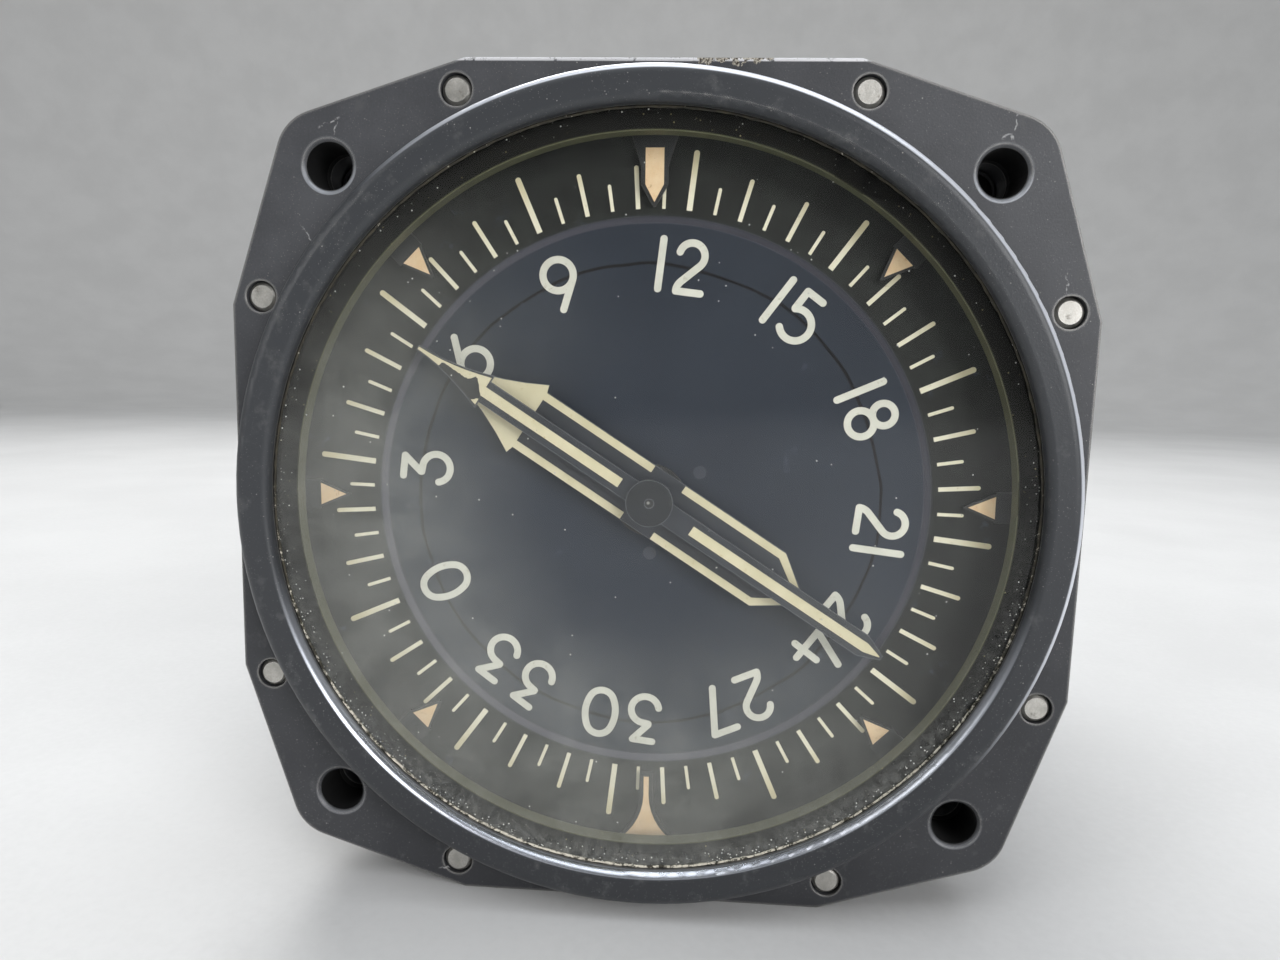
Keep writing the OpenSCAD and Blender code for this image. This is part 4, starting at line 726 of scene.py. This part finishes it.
def boardLaminate():
    look = boardLook
    sheet = startFinish("boardLaminate", look)
    cloth = times(sheet, waves(sheet, look["cloth"], "X", Distortion=0.3),
                  waves(sheet, look["cloth"], "Z", Distortion=0.3))
    layer(sheet, times(sheet, cloth, 0.35), swatch(*look["thread"]))
    sheet["height"] = plus(sheet, sheet["height"], times(sheet, cloth, 0.03))
    wearEdges(sheet, look["edge"], 0.5, 0.2, 0.0)
    return endFinish(sheet)


def mouldedPlastic(name, look):
    sheet = startFinish(name, look)
    layer(sheet, patches(sheet, 2.0, 0.58, 0.72, 0.65), swatch(*look["stain"]), look["rough"][1])
    if "stripe" in look:
        ribs = waves(sheet, look["stripe"], look["way"])
        sheet["height"] = plus(sheet, sheet["height"], times(sheet, ribs, 0.06))
        layer(sheet, band(sheet, ribs, 0.3, 0.0), swatch(*look["stain"]))
    wearEdges(sheet, look["edge"], 0.45, 0.2, 0.0)
    dustOver(sheet, look["edge"], 0.4, 0.03, 0.5)
    return endFinish(sheet)


transformerLook = {"dark": (52, 50, 46), "light": (70, 67, 60), "cloud": 4.0, "grain": 0.2,
                   "rough": (0.4, 0.55), "relief": 0.04, "stain": (96, 84, 56), "edge": (120, 112, 90),
                   "stripe": 0.6, "way": "Y"}
sleeveLook = {"dark": (32, 52, 92), "light": (44, 68, 112), "cloud": 3.0, "grain": 0.2,
              "rough": (0.28, 0.42), "relief": 0.02, "stain": (26, 40, 72), "edge": (112, 128, 156)}
wireLook = {"dark": (196, 190, 172), "light": (218, 212, 196), "cloud": 3.0, "grain": 0.15,
            "rough": (0.45, 0.6), "relief": 0.02, "stain": (164, 150, 118), "edge": (228, 224, 212),
            "stripe": 0.9, "way": "DIAGONAL"}
insertLook = {"dark": (40, 38, 35), "light": (54, 51, 46), "cloud": 4.0, "grain": 0.2,
              "rough": (0.5, 0.68), "relief": 0.05, "stain": (72, 68, 60), "edge": (88, 84, 76)}
dress(windingCopper(), "stator_windings")
dress(boardLaminate(), "amp_board")
dress(mouldedPlastic("transformerCase", transformerLook), "board_transformer")
dress(mouldedPlastic("capacitorSleeve", sleeveLook), "board_capacitors")
dress(mouldedPlastic("wireSleeve", wireLook), "wiring")
dress(mouldedPlastic("insertPlastic", insertLook), "connector_insert")
print("inside and connector dressed")


# new pieces, modelled here

def pickOnly(piece):
    bpy.ops.object.select_all(action="DESELECT")
    piece.select_set(True)
    bpy.context.view_layer.objects.active = piece


def pickVertices(piece, test):
    # selects in edit mode the vertices that pass the test, in mm
    bpy.ops.mesh.select_mode(type="VERT")
    bpy.ops.mesh.select_all(action="DESELECT")
    bpy.ops.object.mode_set(mode="OBJECT")
    for v in piece.data.vertices:
        v.select = bool(test(v.co / mm))
    bpy.ops.object.mode_set(mode="EDIT")


def startCircle(name, **settings):
    # a circle, with its place and turn in its mesh
    bpy.ops.object.select_all(action="DESELECT")
    bpy.ops.mesh.primitive_circle_add(**settings)
    piece = bpy.context.object
    piece.name = name
    bpy.ops.object.transform_apply(location=True, rotation=True, scale=True)
    return piece


def closeMesh():
    # merges what lies together and turns the faces outwards
    bpy.ops.mesh.select_all(action="SELECT")
    bpy.ops.mesh.remove_doubles(threshold=mergeGap)
    bpy.ops.mesh.normals_make_consistent(inside=False)


def settle(piece, surface, body):
    pickOnly(piece)
    bpy.ops.object.transform_apply(location=True, rotation=True, scale=True)
    dress(surface, piece)
    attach(piece, body)


def copyOfNode(node, name):
    # a merged copy of a CAD node's mesh, left in edit mode
    piece = bpy.data.objects.new(name, nodes[node].data.copy())
    bpy.context.scene.collection.objects.link(piece)
    pickOnly(piece)
    bpy.ops.mesh.customdata_custom_splitnormals_clear()
    bpy.ops.object.mode_set(mode="EDIT")
    bpy.ops.mesh.select_all(action="SELECT")
    bpy.ops.mesh.remove_doubles(threshold=mergeGap)
    bpy.ops.mesh.dissolve_limited(angle_limit=math.radians(0.6))
    return piece


shellSizes = {"threadFrom": 102.6, "threadTo": 114.5, "rootR": 13.62, "barrelR": 14.29, "runOut": 0.4,
              "outside": 14.0, "margin": 0.05, "smooth": 35}


def connectorBody():
    # the connector's shell with its barrel turned down for the thread
    size = shellSizes
    piece = copyOfNode("connector_shell", "connector_body")
    for depth in (size["threadFrom"] - size["runOut"], size["threadFrom"], size["threadTo"]):
        bpy.ops.mesh.select_all(action="SELECT")
        bpy.ops.mesh.bisect(plane_co=(0, depth * mm, 0), plane_no=(0, 1, 0))
    low, high = size["threadFrom"] - size["margin"], size["threadTo"] + size["margin"]
    pickVertices(piece, lambda p: low < p.y < high and math.hypot(p.x, p.z) > size["outside"])
    k = size["rootR"] / size["barrelR"]
    bpy.ops.transform.resize(value=(k, 1, k), center_override=(0, low * mm, 0))
    bpy.ops.object.mode_set(mode="OBJECT")
    bpy.ops.object.shade_smooth_by_angle(angle=math.radians(size["smooth"]))
    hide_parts("connector_shell")
    settle(piece, connectorMetal, "instrument")


threadSizes = {"pitch": 1.411, "turns": 7.4, "start": 103.3, "ridge": 0.5, "middleR": 13.79, "steps": 72}


def connectorThread():
    size = threadSizes
    piece = startCircle("connector_thread", vertices=3, radius=size["ridge"] * mm,
                        rotation=(0, 0, -math.pi / 2),
                        location=(size["middleR"] * mm, size["start"] * mm, 0))
    wind = piece.modifiers.new("wind", "SCREW")
    wind.axis = "Y"
    wind.angle = 2 * math.pi * size["turns"]
    wind.screw_offset = size["pitch"] * size["turns"] * mm
    wind.steps = wind.render_steps = int(size["steps"] * size["turns"])
    bpy.ops.object.modifier_apply(modifier="wind")
    bpy.ops.object.mode_set(mode="EDIT")
    bpy.ops.mesh.select_all(action="SELECT")
    bpy.ops.mesh.fill_holes(sides=3)
    bpy.ops.mesh.normals_make_consistent(inside=False)
    bpy.ops.object.mode_set(mode="OBJECT")
    settle(piece, connectorMetal, "instrument")


dirtSizes = {"r": 36.2, "y": -2.8, "bead": 0.12, "steps": 300, "uneven": 0.07}
dirtLook = {"dark": (40, 38, 32), "light": (74, 70, 58), "cloud": 0.8, "grain": 0.1, "rough": (0.75, 0.95),
            "relief": 0.08, "crumb": (214, 208, 192), "dust": (206, 202, 188), "edge": (120, 112, 90)}


def dirtCrust():
    look = dirtLook
    sheet = startFinish("dirtCrust", look)
    low = band(sheet, sheet["z"], 15.0, -32.0, 0.66, 0.46)  # heaviest at the bottom
    crumbs = minus(sheet, noise(sheet, 0.55, 4.0, 0.8), low)
    layer(sheet, band(sheet, crumbs, 0.0, 0.04), swatch(*look["crumb"]), 0.9, None, 0.05)
    dustOver(sheet, look["dust"], 0.34, 0.1, 0.8)
    wearEdges(sheet, look["edge"], 0.3, 0.05, 0.0)
    return endFinish(sheet)


def glassEdgeDirt():
    # a thin uneven line of dirt where the glass meets the lip
    size = dirtSizes
    piece = startCircle("glass_edge_dirt", vertices=6, radius=size["bead"] * mm,
                        location=(size["r"] * mm, size["y"] * mm, 0))
    bpy.ops.object.mode_set(mode="EDIT")
    bpy.ops.mesh.select_all(action="SELECT")
    bpy.ops.mesh.spin(steps=size["steps"], angle=2 * math.pi, center=(0, size["y"] * mm, 0), axis=(0, 1, 0))
    closeMesh()
    bpy.ops.transform.vertex_random(offset=size["uneven"] * mm, uniform=0.6, seed=4)
    bpy.ops.object.mode_set(mode="OBJECT")
    bpy.ops.object.shade_smooth()
    settle(piece, dirtCrust(), "instrument")


nutSizes = {"bore": 1.75, "barrelR": 3.1, "footR": 4.2, "foot": 0.9, "height": 4.6, "from": 8.8, "sides": 40,
            "soft": 0.25, "smooth": 35}
nutLook = {"dark": (40, 40, 42), "light": (58, 58, 60), "cloud": 2.0, "grain": 0.12, "rough": (0.4, 0.55),
           "relief": 0.01, "metal": 0.8, "stain": (78, 66, 52), "edge": (140, 138, 134),
           "hole": (4, 4, 4), "holeR": (1.95, 1.85)}


def nutSteel():
    look = nutLook
    sheet = startFinish("nutSteel", look)
    layer(sheet, patches(sheet, 1.2, 0.58, 0.7), swatch(*look["stain"]), 0.7)
    wearEdges(sheet, look["edge"], 0.5, 0.25, 1.0)
    # painted shade: the bore is painted near-black
    bore = band(sheet, holeDistance(sheet)[0], *look["holeR"])
    layer(sheet, bore, swatch(*look["hole"]), 0.9, 0.0)
    return endFinish(sheet)


def anchorNut():
    # a foot and a barrel, drawn out ring by ring from the edge of the bore
    size = nutSizes
    centre = (0, size["from"] * mm, 0)
    piece = startCircle("mount_nut_1", vertices=size["sides"], radius=size["bore"] * mm,
                        rotation=(math.pi / 2, 0, 0), location=centre)
    bpy.ops.object.mode_set(mode="EDIT")
    rings = ((size["footR"], 0.0), (size["footR"], size["foot"]), (size["barrelR"], size["foot"]),
             (size["barrelR"], size["height"]), (size["bore"], size["height"]))
    wide, deep = size["bore"], 0.0
    bpy.ops.mesh.select_all(action="SELECT")
    for r, depth in rings:
        bpy.ops.mesh.extrude_edges_move(TRANSFORM_OT_translate={"value": (0, (depth - deep) * mm, 0)})
        bpy.ops.transform.resize(value=(r / wide, 1, r / wide), center_override=centre)
        wide, deep = r, depth
    bpy.ops.mesh.extrude_edges_move(TRANSFORM_OT_translate={"value": (0, -size["height"] * mm, 0)})
    closeMesh()
    bpy.ops.object.mode_set(mode="OBJECT")
    soft = piece.modifiers.new("soft", "BEVEL")
    soft.width = size["soft"] * mm
    soft.segments = 2
    soft.limit_method = "ANGLE"
    bpy.ops.object.modifier_apply(modifier="soft")
    bpy.ops.object.shade_smooth_by_angle(angle=math.radians(size["smooth"]))
    return piece


def anchorNuts():
    # the nuts behind the flange that the mounting screws go into
    surface = nutSteel()
    pieces = [anchorNut()]
    for number in (2, 3, 4):
        piece = bpy.data.objects.new("mount_nut_%d" % number, pieces[0].data.copy())
        bpy.context.scene.collection.objects.link(piece)
        pieces.append(piece)
    places = [(x, z) for x in (-mountReach, mountReach) for z in (-mountReach, mountReach)]
    for piece, (x, z) in zip(pieces, places):
        piece.location = (x * mm, 0, z * mm)
        settle(piece, surface, "instrument")


connectorBody()
connectorThread()
glassEdgeDirt()
anchorNuts()
print("connector, dirt line and nuts modelled")


# floor with a rim that rises all round, one pale sheet

floorSizes = {"z": -0.04135, "r": 1.7, "rim": 1.6, "bend": 0.6, "sides": 96, "smooth": 30}  # metres
floorLook = {"dark": (203, 203, 202), "light": (210, 210, 209), "cloud": 60.0, "grain": 1.0,
             "rough": (0.8, 0.9), "relief": 0.02}


def paleFloor():
    size = floorSizes
    piece = startCircle("pale_floor", vertices=size["sides"], radius=size["r"], fill_type="NGON",
                        location=(0, 0, size["z"]))
    bpy.ops.object.mode_set(mode="EDIT")
    bpy.ops.mesh.select_all(action="SELECT")
    bpy.ops.mesh.region_to_loop()
    bpy.ops.mesh.extrude_edges_move(TRANSFORM_OT_translate={"value": (0, 0, size["rim"])})
    pickVertices(piece, lambda p: p.z < 0)
    bpy.ops.mesh.region_to_loop()
    bpy.ops.mesh.bevel(offset=size["bend"], segments=10, affect="EDGES")
    bpy.ops.mesh.select_all(action="SELECT")
    bpy.ops.mesh.normals_make_consistent(inside=True)
    bpy.ops.object.mode_set(mode="OBJECT")
    bpy.ops.object.shade_smooth_by_angle(angle=math.radians(size["smooth"]))
    dress(endFinish(startFinish("paleFloor", floorLook)), piece)


paleFloor()
